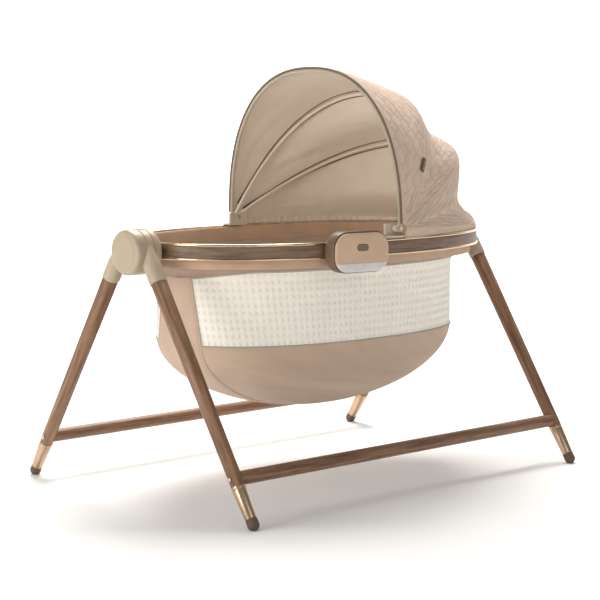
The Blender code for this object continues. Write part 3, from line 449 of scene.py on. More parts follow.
def applied(made, sharp=None):
    """The piece with its modifiers made part of its mesh."""
    graph = bpy.context.evaluated_depsgraph_get()
    mesh = bpy.data.meshes.new_from_object(made.evaluated_get(graph))
    made.modifiers.clear()
    made.data = mesh
    mesh.shade_smooth()
    if sharp:
        mesh.set_sharp_from_angle(angle=math.radians(sharp))
    return made


print("a grid of 3 by 4 points has", len(grid_faces(3, 4)), "faces, or", len(grid_faces(3, 4, True)),
      "when it closes on itself")

# %% [markdown]
# ### Turned shapes
# Legs, ferrules, feet, discs and screw heads are turned on a lathe, so each is a profile spun round an
# axis. Real edges are never knife sharp, so a profile's inner corners are rounded first.


# %% Lathe
def unit(vectors):
    vectors = np.asarray(vectors, float)
    return vectors / np.maximum(np.linalg.norm(vectors, axis=-1, keepdims=True), 1e-12)


def square_to(direction):
    """Two directions square to this one and to each other."""
    direction = unit(direction)
    helper = np.array((0.0, 0.0, 1.0)) if abs(direction[2]) < 0.9 else np.array((1.0, 0.0, 0.0))
    one = unit(np.cross(helper, direction))
    return one, np.cross(direction, one)


def lathe(profile, start, direction, sides=56):
    """A turned shape: profile is (distance along the axis, radius), from axis to axis."""
    profile = np.array(profile, float)
    one, two = square_to(direction)
    turn = np.linspace(0, math.tau, sides, endpoint=False)
    around = np.cos(turn)[:, None] * one + np.sin(turn)[:, None] * two
    along, radius = profile[:, 0, None], profile[:, 1, None]
    points = np.asarray(start, float) + along[..., None] * unit(direction) + radius[..., None] * around
    flat = np.stack(np.broadcast_arrays(radius * np.cos(turn), radius * np.sin(turn), along), -1)
    return points.reshape(-1, 3), grid_faces(len(profile), sides, True), flat.reshape(-1, 3)


def eased(points, radius, steps=4):
    """A (distance, radius) profile with its inner corners rounded."""
    points = [np.array(point, float) for point in points]
    out = [points[0]]
    for before, here, after in zip(points, points[1:], points[2:]):
        reach = min(radius, np.linalg.norm(before - here) * 0.45, np.linalg.norm(after - here) * 0.45)
        start, end = here + unit(before - here) * reach, here + unit(after - here) * reach
        for share in np.linspace(0, 1, steps + 1):
            out.append((1 - share) ** 2 * start + 2 * share * (1 - share) * here + share ** 2 * end)
    return out + [points[-1]]


print("a square corner eased in", len(eased([(0, 1), (1, 1), (1, 0)], 0.1)), "points")

# %% [markdown]
# ### Cloth with a thickness
# Cloth is two sheets a few millimetres or less apart, joined along their edges. Its lining can have a
# finish of its own.


# %% Shells
def grid_normals(grid, wrap=False):
    """Unit normals of a rows x columns grid of points."""
    if wrap:
        around = np.roll(grid, -1, 1) - np.roll(grid, 1, 1)
    else:
        around = np.gradient(grid, axis=1)
    return unit(np.cross(around, np.gradient(grid, axis=0)))


def shell(name, outer, inner, outside, inside=None, carried=None, wrap=False, sharp=60.0):
    """Cloth with a thickness: an outer and an inner grid closed along their edges."""
    rows, columns = outer.shape[:2]
    count = rows * columns
    face = grid_faces(rows, columns, wrap)
    edges = []
    across = columns if wrap else columns - 1
    for row in (0, rows - 1):
        at = row * columns
        edges += [(at + i, at + (i + 1) % columns, count + at + (i + 1) % columns, count + at + i)
                  for i in range(across)]
    if not wrap:
        for column in (0, columns - 1):
            edges += [(j * columns + column, (j + 1) * columns + column,
                       count + (j + 1) * columns + column, count + j * columns + column)
                      for j in range(rows - 1)]
    faces = np.concatenate([face, np.array(edges), face[:, ::-1] + count])
    doubled = {label: np.concatenate([values.reshape(count, -1)] * 2).squeeze()
               for label, values in (carried or {}).items()}
    return make(name, np.concatenate([outer.reshape(-1, 3), inner.reshape(-1, 3)]), faces, outside, doubled,
                sharp, len(face) + len(edges), inside)


print("cloth shells ready")

# %% [markdown]
# ### Tubes and ovals
# Piping, bindings and bows are tubes along a path. The rim, the cot and the canopy share one family of
# ovals, and their points are spaced evenly so that a weave or a row of eyelets keeps its pitch.


# %% Tubes and ovals
def tube(name, path, radius, finish_used, closed=False, sides=12, flat=1.0, up=(0.0, 0.0, 1.0)):
    """A round or flattened tube along a path, with rounded ends unless the path is closed."""
    path = np.asarray(path, float)
    run = unit(np.roll(path, -1, 0) - np.roll(path, 1, 0)) if closed else unit(np.gradient(path, axis=0))
    one = unit(np.cross(run, np.broadcast_to(np.asarray(up, float), run.shape)))
    two = np.cross(one, run)
    lengths = np.concatenate([[0.0], np.cumsum(np.linalg.norm(np.diff(path, axis=0), axis=1))])
    size = np.broadcast_to(np.asarray(radius, float), (len(path),)).copy()
    if not closed:
        before, after = path[:1] - run[:1] * size[0] * 0.5, path[-1:] + run[-1:] * size[-1] * 0.5
        path = np.concatenate([before, path, after])
        one, two = (np.concatenate([d[:1], d, d[-1:]]) for d in (one, two))
        lengths = np.concatenate([lengths[:1], lengths, lengths[-1:]])
        size = np.concatenate([[1e-9], size, [1e-9]])
    turn = np.linspace(0, math.tau, sides, endpoint=False)
    points = (path[:, None] + size[:, None, None] * (np.cos(turn)[None, :, None] * one[:, None]
              + flat * np.sin(turn)[None, :, None] * two[:, None]))
    follow = np.stack(np.broadcast_arrays(lengths[:, None], turn * np.median(size), 0.0 * turn), -1)
    faces = grid_faces(len(path), sides, True)
    if closed:
        last = (len(path) - 1) * sides
        faces = np.concatenate([faces, [(last + i, last + (i + 1) % sides, (i + 1) % sides, i)
                                        for i in range(sides)]])
    return make(name, points, faces, finish_used, {"cloth": follow.reshape(-1, 3)}, 60.0)


def oval(angle, half_length, half_width, power):
    """Points of a rounded oval, between an ellipse and a rectangle, as its power rises above 2."""
    along_x, along_y = np.cos(angle), np.sin(angle)
    return np.stack([np.sign(along_x) * half_length * np.abs(along_x) ** (2 / power),
                     np.sign(along_y) * half_width * np.abs(along_y) ** (2 / power)], -1)


def even_angles(first, last, count, half_length, half_width, power):
    """Angles that space points evenly along part of an oval."""
    fine = np.linspace(first, last, 8001)
    points = oval(fine, half_length, half_width, power)
    lengths = np.concatenate([[0.0], np.cumsum(np.linalg.norm(np.diff(points, axis=0), axis=1))])
    return np.interp(np.linspace(0, lengths[-1], count), lengths, fine)


print("half of a unit circle is", round(float(even_angles(0, math.pi, 3, 1, 1, 2)[1]), 3), "at its middle")

# %% [markdown]
# ## Tools for what repeats
# Geometry Nodes grow whatever repeats: eyelets, stitches and screws, and the rim, whose shape is one
# rule. A tree takes named sizes, ends by realising its instances and setting its finish, and is then
# turned into a plain mesh so that nothing depends on the tree any more.


# %% Geometry Nodes helpers
def new_tree(name, inputs):
    """An empty tree with a geometry input and output and the named inputs, and their identifiers."""
    tree = bpy.data.node_groups.new(name, "GeometryNodeTree")
    tree.interface.new_socket("Geometry", in_out="OUTPUT", socket_type="NodeSocketGeometry")
    tree.interface.new_socket("Geometry", in_out="INPUT", socket_type="NodeSocketGeometry")
    keys = {}
    for label, kind in inputs.items():
        socket = tree.interface.new_socket(label, in_out="INPUT", socket_type="NodeSocket" + kind)
        keys[label] = socket.identifier
    return tree, add(tree, "NodeGroupInput"), keys


def close_tree(tree, geometry, entry):
    """Ends a tree with realised instances and its finish."""
    real = add(tree, "GeometryNodeRealizeInstances", {"Geometry": geometry})
    finished = add(tree, "GeometryNodeSetMaterial", {"Geometry": real.outputs["Geometry"],
                                                    "Material": entry.outputs["Finish"]})
    add(tree, "NodeGroupOutput", {"Geometry": finished.outputs["Geometry"]})


def grow(name, tree, keys, values, points=((0, 0, 0),), edges=()):
    """Runs a tree on a small carrier mesh, and keeps the result as a plain piece."""
    carrier_mesh = bpy.data.meshes.new(name + " carrier")
    carrier_mesh.from_pydata([tuple(map(float, point)) for point in points], list(edges), [])
    carrier = bpy.data.objects.new(name + " carrier", carrier_mesh)
    bpy.context.scene.collection.objects.link(carrier)
    modifier = carrier.modifiers.new("grown", "NODES")
    modifier.node_group = tree
    for label, value in values.items():
        modifier[keys[label]] = value
    bpy.context.view_layer.update()
    graph = bpy.context.evaluated_depsgraph_get()
    mesh = bpy.data.meshes.new_from_object(carrier.evaluated_get(graph))
    mesh.name = name
    made = bpy.data.objects.new(name, mesh)
    bpy.context.scene.collection.objects.link(made)
    bpy.data.objects.remove(carrier)
    print(name, "grew", len(mesh.polygons), "faces")
    return made


print("tree tools ready")

# %% [markdown]
# ### Stitches
# A sewn seam is a row of short threads. A tree resamples the seam's path at the stitch length and lays a
# small rod at each point, which is lighter than modelling the loops of a real stitch and looks the
# same from a few centimetres away.


# %% Stitches
def stitch_tree():
    """Threads laid along a path: each is a small six-sided rod in line with the seam."""
    tree, entry, keys = new_tree("stitches", {"Spacing": "Float", "Stitch Length": "Float",
                                              "Thread Radius": "Float", "Finish": "Material"})
    path = add(tree, "GeometryNodeMeshToCurve", {"Mesh": entry.outputs["Geometry"]})
    spaced = add(tree, "GeometryNodeResampleCurve",
                 {"Curve": path.outputs["Curve"], "Length": entry.outputs["Spacing"]}, mode="LENGTH")
    thread = add(tree, "GeometryNodeMeshCylinder", {"Vertices": 6, "Radius": entry.outputs["Thread Radius"],
                                                    "Depth": entry.outputs["Stitch Length"]})
    tangent = add(tree, "GeometryNodeInputTangent")
    turned = add(tree, "FunctionNodeAlignRotationToVector", {"Vector": tangent.outputs["Tangent"]}, axis="Z")
    copies = add(tree, "GeometryNodeInstanceOnPoints",
                 {"Points": spaced.outputs["Curve"], "Instance": thread.outputs["Mesh"],
                  "Rotation": turned.outputs["Rotation"]})
    close_tree(tree, copies.outputs["Instances"], entry)
    return tree, keys


STITCHES, STITCH_KEYS = stitch_tree()


def stitched(name, paths, spacing=0.0042, length=0.0028, radius=0.00032):
    """One piece of stitches along several paths."""
    points, edges = [], []
    for path in paths:
        start = len(points)
        points += list(path)
        edges += [(start + i, start + i + 1) for i in range(len(path) - 1)]
    made = grow(name, STITCHES, STITCH_KEYS, {"Spacing": spacing, "Stitch Length": length,
                                              "Thread Radius": radius, "Finish": THREAD}, points, edges)
    carry(made.data, "cloth", points_of(made.data))
    return made


print("the stitches' tree has", len(STITCHES.nodes), "nodes")

# %% [markdown]
# ## The legs
# Each end of the stand is an A of two tapered walnut legs. A bronze ferrule caps the bottom of each
# leg and holds a rubber foot, cut flat where it meets the floor. All three are turned on one axis, so a
# lathe makes them, and the axis runs from the foot's mount to the point where the legs' lines cross.

# %% Legs, ferrules and feet
LEFT, RIGHT = -1, 1
FRONT, REAR = -1, 1
APEX_ABOVE_HUB = 0.0615
SOCKET_END = 0.1454
FERRULE_LOW, FERRULE_HIGH = 0.021, 0.081
LEG_TOP_RADIUS, LEG_BOTTOM_RADIUS = 0.0175, 0.0146
TENON_RADIUS, SPIGOT_RADIUS = 0.0098, 0.0112
FOOT_RADIUS = 0.0125
hub_axis = np.array(joints["basket_swing"]["pos_m"])
leg_apex = hub_axis[2] + APEX_ABOVE_HUB
end_names, side_names = {FRONT: "front", REAR: "rear"}, {LEFT: "left", RIGHT: "right"}


def leg_axis(side, end):
    """The leg's upward direction and a function for the point of its axis at a height."""
    foot = np.array(mounts[f"foot_{end_names[end]}_{side_names[side]}"]["pos_m"], float)
    apex = np.array((foot[0], 0.0, leg_apex))
    up = unit(apex - foot)
    return up, lambda height: foot + (apex - foot) * height / leg_apex


def ride_all(body, *made):
    for piece in made:
        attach(piece, body)


for side in (LEFT, RIGHT):
    for end in (FRONT, REAR):
        name = f"{end_names[end]}_{side_names[side]}"
        up, at_height = leg_axis(side, end)
        shoulder, low = at_height(FERRULE_HIGH), at_height(FERRULE_LOW)
        length = np.linalg.norm(at_height(leg_apex) - up * SOCKET_END - shoulder)
        profile = [(-0.02, 0), (-0.02, TENON_RADIUS), (0.0003, TENON_RADIUS),
                   (0.0003, LEG_BOTTOM_RADIUS - 0.0006), (0.0012, LEG_BOTTOM_RADIUS),
                   (length * 0.5, (LEG_BOTTOM_RADIUS + LEG_TOP_RADIUS) / 2),
                   (length - 0.0012, LEG_TOP_RADIUS), (length - 0.0003, LEG_TOP_RADIUS - 0.0006),
                   (length - 0.0003, SPIGOT_RADIUS), (length + 0.025, SPIGOT_RADIUS), (length + 0.025, 0)]
        points, faces, grain = lathe(profile, shoulder, up)
        leg = make("walnut_leg_" + name, points, faces, WALNUT, {"grain": grain + side * 0.37 + end * 0.11})
        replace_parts(leg, "leg_" + name)

        tall = np.linalg.norm(shoulder - low)
        top = LEG_BOTTOM_RADIUS + 0.0004
        profile = eased([(0, 0), (0, 0.0122), (tall - 0.0075, top - 0.0003), (tall - 0.0070, top - 0.0008),
                         (tall - 0.0062, top - 0.0008), (tall - 0.0057, top - 0.0002), (tall, top),
                         (tall, 0.0101), (tall - 0.02, 0.0101), (tall - 0.02, 0)], 0.0004, 3)
        points, faces, _ = lathe(profile, low, up)
        ferrule = make("bronze_ferrule_" + name, points, faces, SATIN_BRONZE)
        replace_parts(ferrule, "ferrule_" + name)

        turn = np.linspace(0, math.pi / 2, 12)
        dome = [(-FOOT_RADIUS * math.cos(t), FOOT_RADIUS * math.sin(t)) for t in turn]
        centre = at_height(0.0102)
        reach = np.linalg.norm(low - centre) - 0.0003
        points, faces, _ = lathe(dome + [(reach - 0.0006, 0.0122), (reach, 0.0116), (reach, 0)], centre, up)
        points[:, 2] = np.maximum(points[:, 2], 0.0)
        foot = make("rubber_foot_" + name, points, faces, RUBBER)
        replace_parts(foot, "foot_" + name)
        ride_all(end_names[end] + "_frame", leg, ferrule, foot)
print("four legs,", round(length * 1000), "mm of bare wood each")

# %% [markdown]
# ## The rails and their screws
# A round rail joins the two left and right legs at the front, and another at the back. Its ends are
# hollowed to sit against the legs, which a carpenter calls a cope: each line of the rail simply stops
# where it meets the leg's cylinder. A pan-head screw goes through each leg, and a small tree sets one
# facing outwards at each end of a rail.

# %% Rails and screws
RAIL_HEIGHT, RAIL_RADIUS = 0.095, 0.0145
RAIL_SIDES, RAIL_RINGS = 56, 22
LEG_CLEARANCE = 0.0006


def make_rail(end):
    up, at_height = leg_axis(RIGHT, end)
    middle = at_height(RAIL_HEIGHT)
    reach = LEG_BOTTOM_RADIUS + LEG_CLEARANCE
    across = np.array((0, up[2], -up[1]))
    turn = np.linspace(0, math.tau, RAIL_SIDES, endpoint=False)
    end_rings = [0.0, 0.4, 0.75, 0.93]
    radii = np.concatenate([end_rings, np.ones(RAIL_RINGS), end_rings[::-1]]) * RAIL_RADIUS
    shares = np.concatenate([[-1.0] * 4, np.linspace(-1, 1, RAIL_RINGS), [1.0] * 4])
    offset = np.stack([0 * turn, np.cos(turn), np.sin(turn)], -1)
    rings = []
    for radius, share in zip(radii, shares):
        beside = (offset @ across) * radius
        stop = abs(middle[0]) - np.sqrt(reach ** 2 - beside ** 2)
        ring = offset * radius + np.array((0, middle[1], middle[2]))
        ring[:, 0] = share * stop
        rings.append(ring)
    points = np.array(rings)
    grain = np.stack([points[..., 1], points[..., 2], points[..., 0]], -1).reshape(-1, 3) + end * 0.5
    rail = make("walnut_rail_" + end_names[end], points, grid_faces(len(radii), RAIL_SIDES, True), WALNUT,
                {"grain": grain})
    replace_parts(rail, "rail_" + end_names[end])
    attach(rail, end_names[end] + "_frame")


# %% Screws
def screw_tree():
    tree, entry, keys = new_tree("rail screws", {"Head": "Object", "Finish": "Material"})
    head = add(tree, "GeometryNodeObjectInfo", {"Object": entry.outputs["Head"]})
    place = add(tree, "GeometryNodeInputPosition")
    parts = add(tree, "ShaderNodeSeparateXYZ", {"Vector": place.outputs["Position"]})
    outwards = add(tree, "ShaderNodeCombineXYZ", {"X": maths(tree, "SIGN", parts.outputs["X"])})
    turned = add(tree, "FunctionNodeAlignRotationToVector", {"Vector": outwards.outputs["Vector"]}, axis="Z")
    copies = add(tree, "GeometryNodeInstanceOnPoints",
                 {"Points": entry.outputs["Geometry"], "Instance": head.outputs["Geometry"],
                  "Rotation": turned.outputs["Rotation"]})
    close_tree(tree, copies.outputs["Instances"], entry)
    return tree, keys


SCREWS, SCREW_KEYS = screw_tree()
head_profile = eased([(-0.0006, 0), (-0.0006, 0.0052), (0.0022, 0.0052), (0.0028, 0.0022), (0.0012, 0.0019),
                      (0.0012, 0)], 0.0012)
points, faces, _ = lathe(head_profile, (0, 0, 0), (0, 0, 1), 30)
screw_head = make("screw head", points, faces, STEEL)
for end in (FRONT, REAR):
    make_rail(end)
    places = []
    for side in (LEFT, RIGHT):
        _, at_height = leg_axis(side, end)
        places.append(at_height(RAIL_HEIGHT) + np.array((side * (LEG_BOTTOM_RADIUS + LEG_CLEARANCE), 0, 0)))
    screws = grow("rail_screws_" + end_names[end], SCREWS, SCREW_KEYS, {"Head": screw_head, "Finish": STEEL},
                  places)
    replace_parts(tidy(screws), *(f"rail_bolt_{end_names[end]}_{name}" for name in ("left", "right")))
    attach(screws, end_names[end] + "_frame")
bpy.data.objects.remove(screw_head)
print("two rails,", round(RAIL_HEIGHT * 1000), "mm above the floor, with a screw at each end")

# %% [markdown]
# ## The hubs
# Three round plastic castings sit side by side at each end: the rear legs' on the outside, the front
# legs' in the middle, and the cot's hanger on the inside. Each leg casting is a disc that flows into a
# tapered arm. Joining the two shapes and remeshing them in small cubes, then smoothing, gives the soft
# moulded fillet where they meet, which a plain union would leave as a hard crease.

# %% Casting tools
REAR_HUB_WIDTH, FRONT_HUB_WIDTH, HANGER_WIDTH = 0.029, 0.019, 0.0215
RUNNING_GAP = 0.001
hub_radius = (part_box("basket_hanger_right")[1][2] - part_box("basket_hanger_right")[0][2]) / 2
hub_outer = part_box("hub_rear_right")[1][0]
rear_hub_inner = hub_outer - REAR_HUB_WIDTH
front_hub_outer = rear_hub_inner - RUNNING_GAP / 2
front_hub_inner = front_hub_outer - FRONT_HUB_WIDTH
hanger_outer = front_hub_inner - RUNNING_GAP / 2
hanger_inner = hanger_outer - HANGER_WIDTH


def disc_profile(width, inner_round, outer_round):
    """A disc from its inner face at 0 to its outer face, with rounded edges."""
    turns = np.linspace(0, math.pi / 2, 9)
    inner = [(inner_round * (1 - math.sin(t)), hub_radius - inner_round * (1 - math.cos(t))) for t in turns]
    outer = [(width - outer_round * (1 - math.sin(t)), hub_radius - outer_round * (1 - math.cos(t)))
             for t in turns]
    return [(0, 0)] + inner[::-1] + outer + [(width, 0)]


def moulded_together(name, parts, voxel=0.0013, rounds=5):
    """Several closed shapes joined into one soft-edged casting."""
    points, faces, start = [], [], 0
    for part_points, part_faces in parts:
        points.append(part_points)
        faces.append(np.asarray(part_faces) + start)
        start += len(part_points)
    casting = make(name, np.concatenate(points), np.concatenate(faces), CREAM_PLASTIC)
    remesh = casting.modifiers.new("cubes", "REMESH")
    remesh.mode, remesh.voxel_size = "VOXEL", voxel
    smooth = casting.modifiers.new("soften", "SMOOTH")
    smooth.factor, smooth.iterations = 0.5, rounds
    return applied(casting)


print("a hub is", round(hub_radius * 2000), "mm across and starts", round(float(hanger_inner), 3), "m out")

# %% Hub castings
for side in (LEFT, RIGHT):
    for end, inner_x, width, edge in ((FRONT, front_hub_inner, FRONT_HUB_WIDTH, 0.0012),
                                      (REAR, rear_hub_inner, REAR_HUB_WIDTH - 0.0006, 0.009)):
        name = f"{end_names[end]}_{side_names[side]}"
        up, at_height = leg_axis(side, end)
        disc, disc_faces, _ = lathe(disc_profile(width, 0.0010, edge), (side * inner_x, 0, hub_axis[2]),
                                    (side, 0, 0), 96)
        mouth = at_height(leg_apex) - up * SOCKET_END
        length = SOCKET_END - APEX_ABOVE_HUB * up[2]
        arm_profile = eased([(0.001, 0), (0, LEG_TOP_RADIUS - 0.003), (0, LEG_TOP_RADIUS + 0.0004),
                             (0.0020, LEG_TOP_RADIUS + 0.0020), (length * 0.45, LEG_TOP_RADIUS + 0.0018),
                             (length, 0.0140), (length, 0)], 0.0015)
        arm, arm_faces, _ = lathe(arm_profile, mouth, up, 72)
        low_x, high_x = inner_x + 0.0006, hub_outer - 0.003 if end == REAR else front_hub_outer - 0.0004
        near = np.linalg.norm(arm[:, 1:] - hub_axis[1:], axis=1) < hub_radius + 0.004
        arm[near, 0] = side * np.clip(side * arm[near, 0], low_x, high_x)
        casting = moulded_together("hub_casting_" + name, [(disc, disc_faces), (arm, arm_faces)])
        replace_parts(casting, "hub_" + name)
        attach(casting, end_names[end] + "_frame")
    points, faces, _ = lathe(disc_profile(HANGER_WIDTH, 0.012, 0.0010), (side * hanger_inner, 0, hub_axis[2]),
                             (side, 0, 0), 120)
    hanger = make("rim_hanger_" + side_names[side], points, faces, CREAM_PLASTIC)
    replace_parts(hanger, "basket_hanger_" + side_names[side])
    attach(hanger, "basket")

    cap_radius = hub_radius * 0.74
    profile = eased([(-0.0012, 0), (-0.0012, cap_radius), (0.0006, cap_radius - 0.0004), (0.0006, 0)], 0.0004)
    points, faces, _ = lathe(profile, (side * (hub_outer - 0.0006), 0, hub_axis[2]), (side, 0, 0), 120)
    cap = make("hub_cap_" + side_names[side], points, faces, CREAM_PLASTIC)
    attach(cap, "rear_frame")
    print("hub", side_names[side], len(casting.data.polygons), "faces in its last casting")

# %% [markdown]
# ### Release buttons
# A button on top of each hub unlocks the fold. It is a small block whose top follows the hub's curve and
# stands a little proud of it, so a thumb can find it. A shell of two grids gives the curved top and flat
# underside, and a bevel eases the edges.

# %% Release buttons
RELEASE_LENGTH, RELEASE_PROUD = 0.026, 0.0012
for side in (LEFT, RIGHT):
    name = side_names[side]
    low, high = (np.array(corner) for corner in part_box("release_button_" + name))
    turn = np.linspace(-1, 1, 17) * math.asin(RELEASE_LENGTH / 2 / (hub_radius + RELEASE_PROUD))
    radius = hub_radius + RELEASE_PROUD
    top = np.array([[(x, radius * math.sin(t), hub_axis[2] + radius * math.cos(t)) for t in turn]
                    for x in np.linspace(low[0], high[0], 7)])
    under = top.copy()
    under[..., 2] = low[2]
    button = shell("fold_release_" + name, top, under, CREAM_PLASTIC, sharp=40)
    bevel = button.modifiers.new("eased edges", "BEVEL")
    bevel.width, bevel.segments, bevel.limit_method, bevel.angle_limit = 0.0011, 3, "ANGLE", math.radians(50)
    applied(button, 45)
    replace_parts(button, "release_button_" + name)
    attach(button, "release_" + name)
print("two release buttons")

# %% [markdown]
# ## The rim
# The cot hangs from an oval rim: a dark walnut band between two polished bronze beads. All three are one
# rule, a small section carried round a rounded oval, so one tree makes them. It bends a unit circle
# into the oval and sweeps a rounded rectangle along it. A bead is that rectangle with corners as large
# as they can be.


# %% The rim's tree
def rim_tree():
    tree, entry, keys = new_tree("oval rim", {
        "Half Length": "Float", "Half Width": "Float", "Oval Power": "Float", "Height": "Float",
        "Section Across": "Float", "Section Tall": "Float", "Corner": "Float", "Steps": "Int",
        "Finish": "Material"})
    size = entry.outputs
    circle = add(tree, "GeometryNodeCurvePrimitiveCircle", {"Resolution": size["Steps"], "Radius": 1.0})
    parts = add(tree, "ShaderNodeSeparateXYZ", {"Vector": add(tree, "GeometryNodeInputPosition").outputs[0]})
    share = maths(tree, "DIVIDE", 2.0, size["Oval Power"])

    def stretched(axis, half):
        bent = maths(tree, "POWER", maths(tree, "ABSOLUTE", parts.outputs[axis]), share)
        signed = maths(tree, "MULTIPLY", bent, maths(tree, "SIGN", parts.outputs[axis]))
        return maths(tree, "MULTIPLY", signed, half)

    place = add(tree, "ShaderNodeCombineXYZ", {"X": stretched("X", size["Half Length"]),
                                               "Y": stretched("Y", size["Half Width"]), "Z": size["Height"]})
    ring = add(tree, "GeometryNodeSetPosition", {"Geometry": circle.outputs["Curve"],
                                                 "Position": place.outputs["Vector"]})
    upright = add(tree, "GeometryNodeSetCurveNormal", {"Curve": ring.outputs["Geometry"]}, mode="Z_UP")
    box_section = add(tree, "GeometryNodeCurvePrimitiveQuadrilateral", {"Width": size["Section Across"],
                                                                       "Height": size["Section Tall"]})
    rounded = add(tree, "GeometryNodeFilletCurve", {"Curve": box_section.outputs["Curve"], "Count": 5,
                                                    "Radius": size["Corner"], "Limit Radius": True},
                  mode="POLY")
    swept = add(tree, "GeometryNodeCurveToMesh", {"Curve": upright.outputs["Curve"],
                                                  "Profile Curve": rounded.outputs["Curve"]})
    close_tree(tree, swept.outputs["Mesh"], entry)
    return tree, keys


RIM, RIM_KEYS = rim_tree()
print("the rim's tree has", len(RIM.nodes), "nodes")

# %% Beads and band
RIM_POWER, BEAD_RADIUS = 2.33, 0.0032
BAND_RECESS, BAND_THICKNESS = 0.0022, 0.011
RIM_STEPS, GRAIN_RADIUS = 480, 0.36
FRAME_RIM_SIDES = 40
bead_low, bead_high = (np.array(corner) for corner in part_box("rim_top_bead"))
# The frame's rim is an oval cut into flats, whose corners lie on the true oval
corner_share = math.cos(math.pi / FRAME_RIM_SIDES) ** (2 / RIM_POWER)
rim_half_length = (bead_high[0] - BEAD_RADIUS) / corner_share + BEAD_RADIUS
rim_half_width = (bead_high[1] - BEAD_RADIUS) / corner_share + BEAD_RADIUS
rim_top = (bead_low[2] + bead_high[2]) / 2
rim_bottom = float(sum(corner[2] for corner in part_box("rim_bottom_bead"))) / 2


def rim_piece(name, inset, height, across, tall, corner, finish_used):
    made = grow(name, RIM, RIM_KEYS, {"Half Length": rim_half_length - inset,
                                      "Half Width": rim_half_width - inset, "Oval Power": RIM_POWER,
                                      "Height": height, "Section Across": across, "Section Tall": tall,
                                      "Corner": corner, "Steps": RIM_STEPS, "Finish": finish_used})
    tidy(made, 60)
    spots = points_of(made.data)
    turn = np.arctan2(spots[:, 1] / rim_half_width, spots[:, 0] / rim_half_length)
    outward = np.hypot(spots[:, 0] / rim_half_length, spots[:, 1] / rim_half_width) * GRAIN_RADIUS
    carry(made.data, "grain", np.stack([outward, spots[:, 2], np.abs(turn) * GRAIN_RADIUS], -1))
    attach(made, "basket")
    return made


for place, height in (("top", rim_top), ("bottom", rim_bottom)):
    bead = rim_piece(f"bronze_bead_{place}", BEAD_RADIUS, height, 2 * BEAD_RADIUS, 2 * BEAD_RADIUS,
                     BEAD_RADIUS * 0.999, BRONZE)
    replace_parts(bead, f"rim_{place}_bead")
band_tall = rim_top - rim_bottom - 2 * BEAD_RADIUS - 0.0006
band = rim_piece("walnut_band", BAND_RECESS + BAND_THICKNESS / 2, (rim_top + rim_bottom) / 2, BAND_THICKNESS,
                 band_tall, 0.0009, RIM_WALNUT)
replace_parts(band, "rim_band")
print("rim half length and width:", round(rim_half_length, 4), round(rim_half_width, 4))

# %% [markdown]
# ## The cot's cloth body
# The body is a stretched knit cover: nearly upright walls that flare out to the rim at the very top, and
# a bowl below the mattress. Both long sides have a large eyelet window. The walls are one rule, an oval
# for each height, so a function gives any point of the cover and the pieces are cut from it by angle and
# height, the way the real panels are cut and sewn.

# %% The rule of the body
BODY_POWER = 2.29
BASE_LENGTH_POWER, BASE_WIDTH_POWER = 1.82, 2.03
FLARE_BELOW_BAND, FLARE_POWER, FABRIC_INSIDE_RIM = 0.037, 4, 0.006
CLOTH = 0.0026
base_low, base_high = (np.array(corner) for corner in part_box("base_shell"))
body_half = base_high[:2].copy()
base_floor, window_low = base_low[2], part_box("mesh_window_front")[0][2]
band_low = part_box("top_band")[0][2]
SEAM_Y_LOW, SEAM_Y_HIGH = 0.0722, 0.0450


def mix(low, high, share):
    return low + (high - low) * share


def wall(angle, height):
    """Points of the walls at angles round the cot and heights."""
    start = band_low - FLARE_BELOW_BAND
    share = np.clip((height - start) / (rim_bottom - start), 0, 1) ** FLARE_POWER
    half_length = mix(body_half[0], rim_half_length - FABRIC_INSIDE_RIM, share)
    half_width = mix(body_half[1], rim_half_width - FABRIC_INSIDE_RIM, share)
    flat = oval(angle, half_length, half_width, BODY_POWER)
    return np.concatenate([flat, np.broadcast_to(height, angle.shape)[..., None]], -1)


def bowl(angle, share):
    """Points of the bowl: share runs from 0 at its top to 1 at the middle of its floor."""
    turn = share * math.pi / 2
    depth = np.sin(turn) ** (2 / BASE_LENGTH_POWER)
    half_length = body_half[0] * np.cos(turn) ** (2 / BASE_LENGTH_POWER)
    half_width = body_half[1] * np.clip(1 - depth ** BASE_WIDTH_POWER, 0, 1) ** (1 / BASE_WIDTH_POWER)
    flat = oval(angle, half_length, half_width, BODY_POWER)
    return np.concatenate([flat, (window_low - depth * (window_low - base_floor))[..., None]], -1)


def seam_angle(height):
    """The angle from the cot's end at which a window's end seam lies: the seam leans."""
    across = mix(SEAM_Y_LOW, SEAM_Y_HIGH, np.clip((height - window_low) / (band_low - window_low), 0, 1))
    return np.arcsin((across / body_half[1]) ** (BODY_POWER / 2))


def window_top(angle):
    """The height of the windows' upper edge, which drops a little towards the cot's ends."""
    along_cot = np.abs(np.cos(angle)) ** (2 / BODY_POWER)
    return band_low + 0.0018 - 0.020 * along_cot ** 8


print("body half sizes:", np.round(body_half, 4))
print("walls from", round(window_low, 4), "to", round(band_low, 4))


# %% Grids of cloth and the size of their cuts
def lifted(grid, distance, wrap=False):
    """A grid moved out of the cot along its own normals."""
    normals = grid_normals(grid, wrap)
    facing = np.sign(np.sum(normals * (grid - np.array((0, 0, rim_top))), -1).mean())
    return grid + normals * facing * np.asarray(distance)[..., None]


def cloth_lengths(grid):
    """How far each point of a grid lies along its row and down its column, in metres."""
    along = np.cumsum(np.linalg.norm(np.diff(grid, axis=1, prepend=grid[:, :1]), axis=-1), axis=1)
    down = np.cumsum(np.linalg.norm(np.diff(grid, axis=0, prepend=grid[:1]), axis=-1), axis=0)
    return np.stack([along, down, 0 * along], -1)


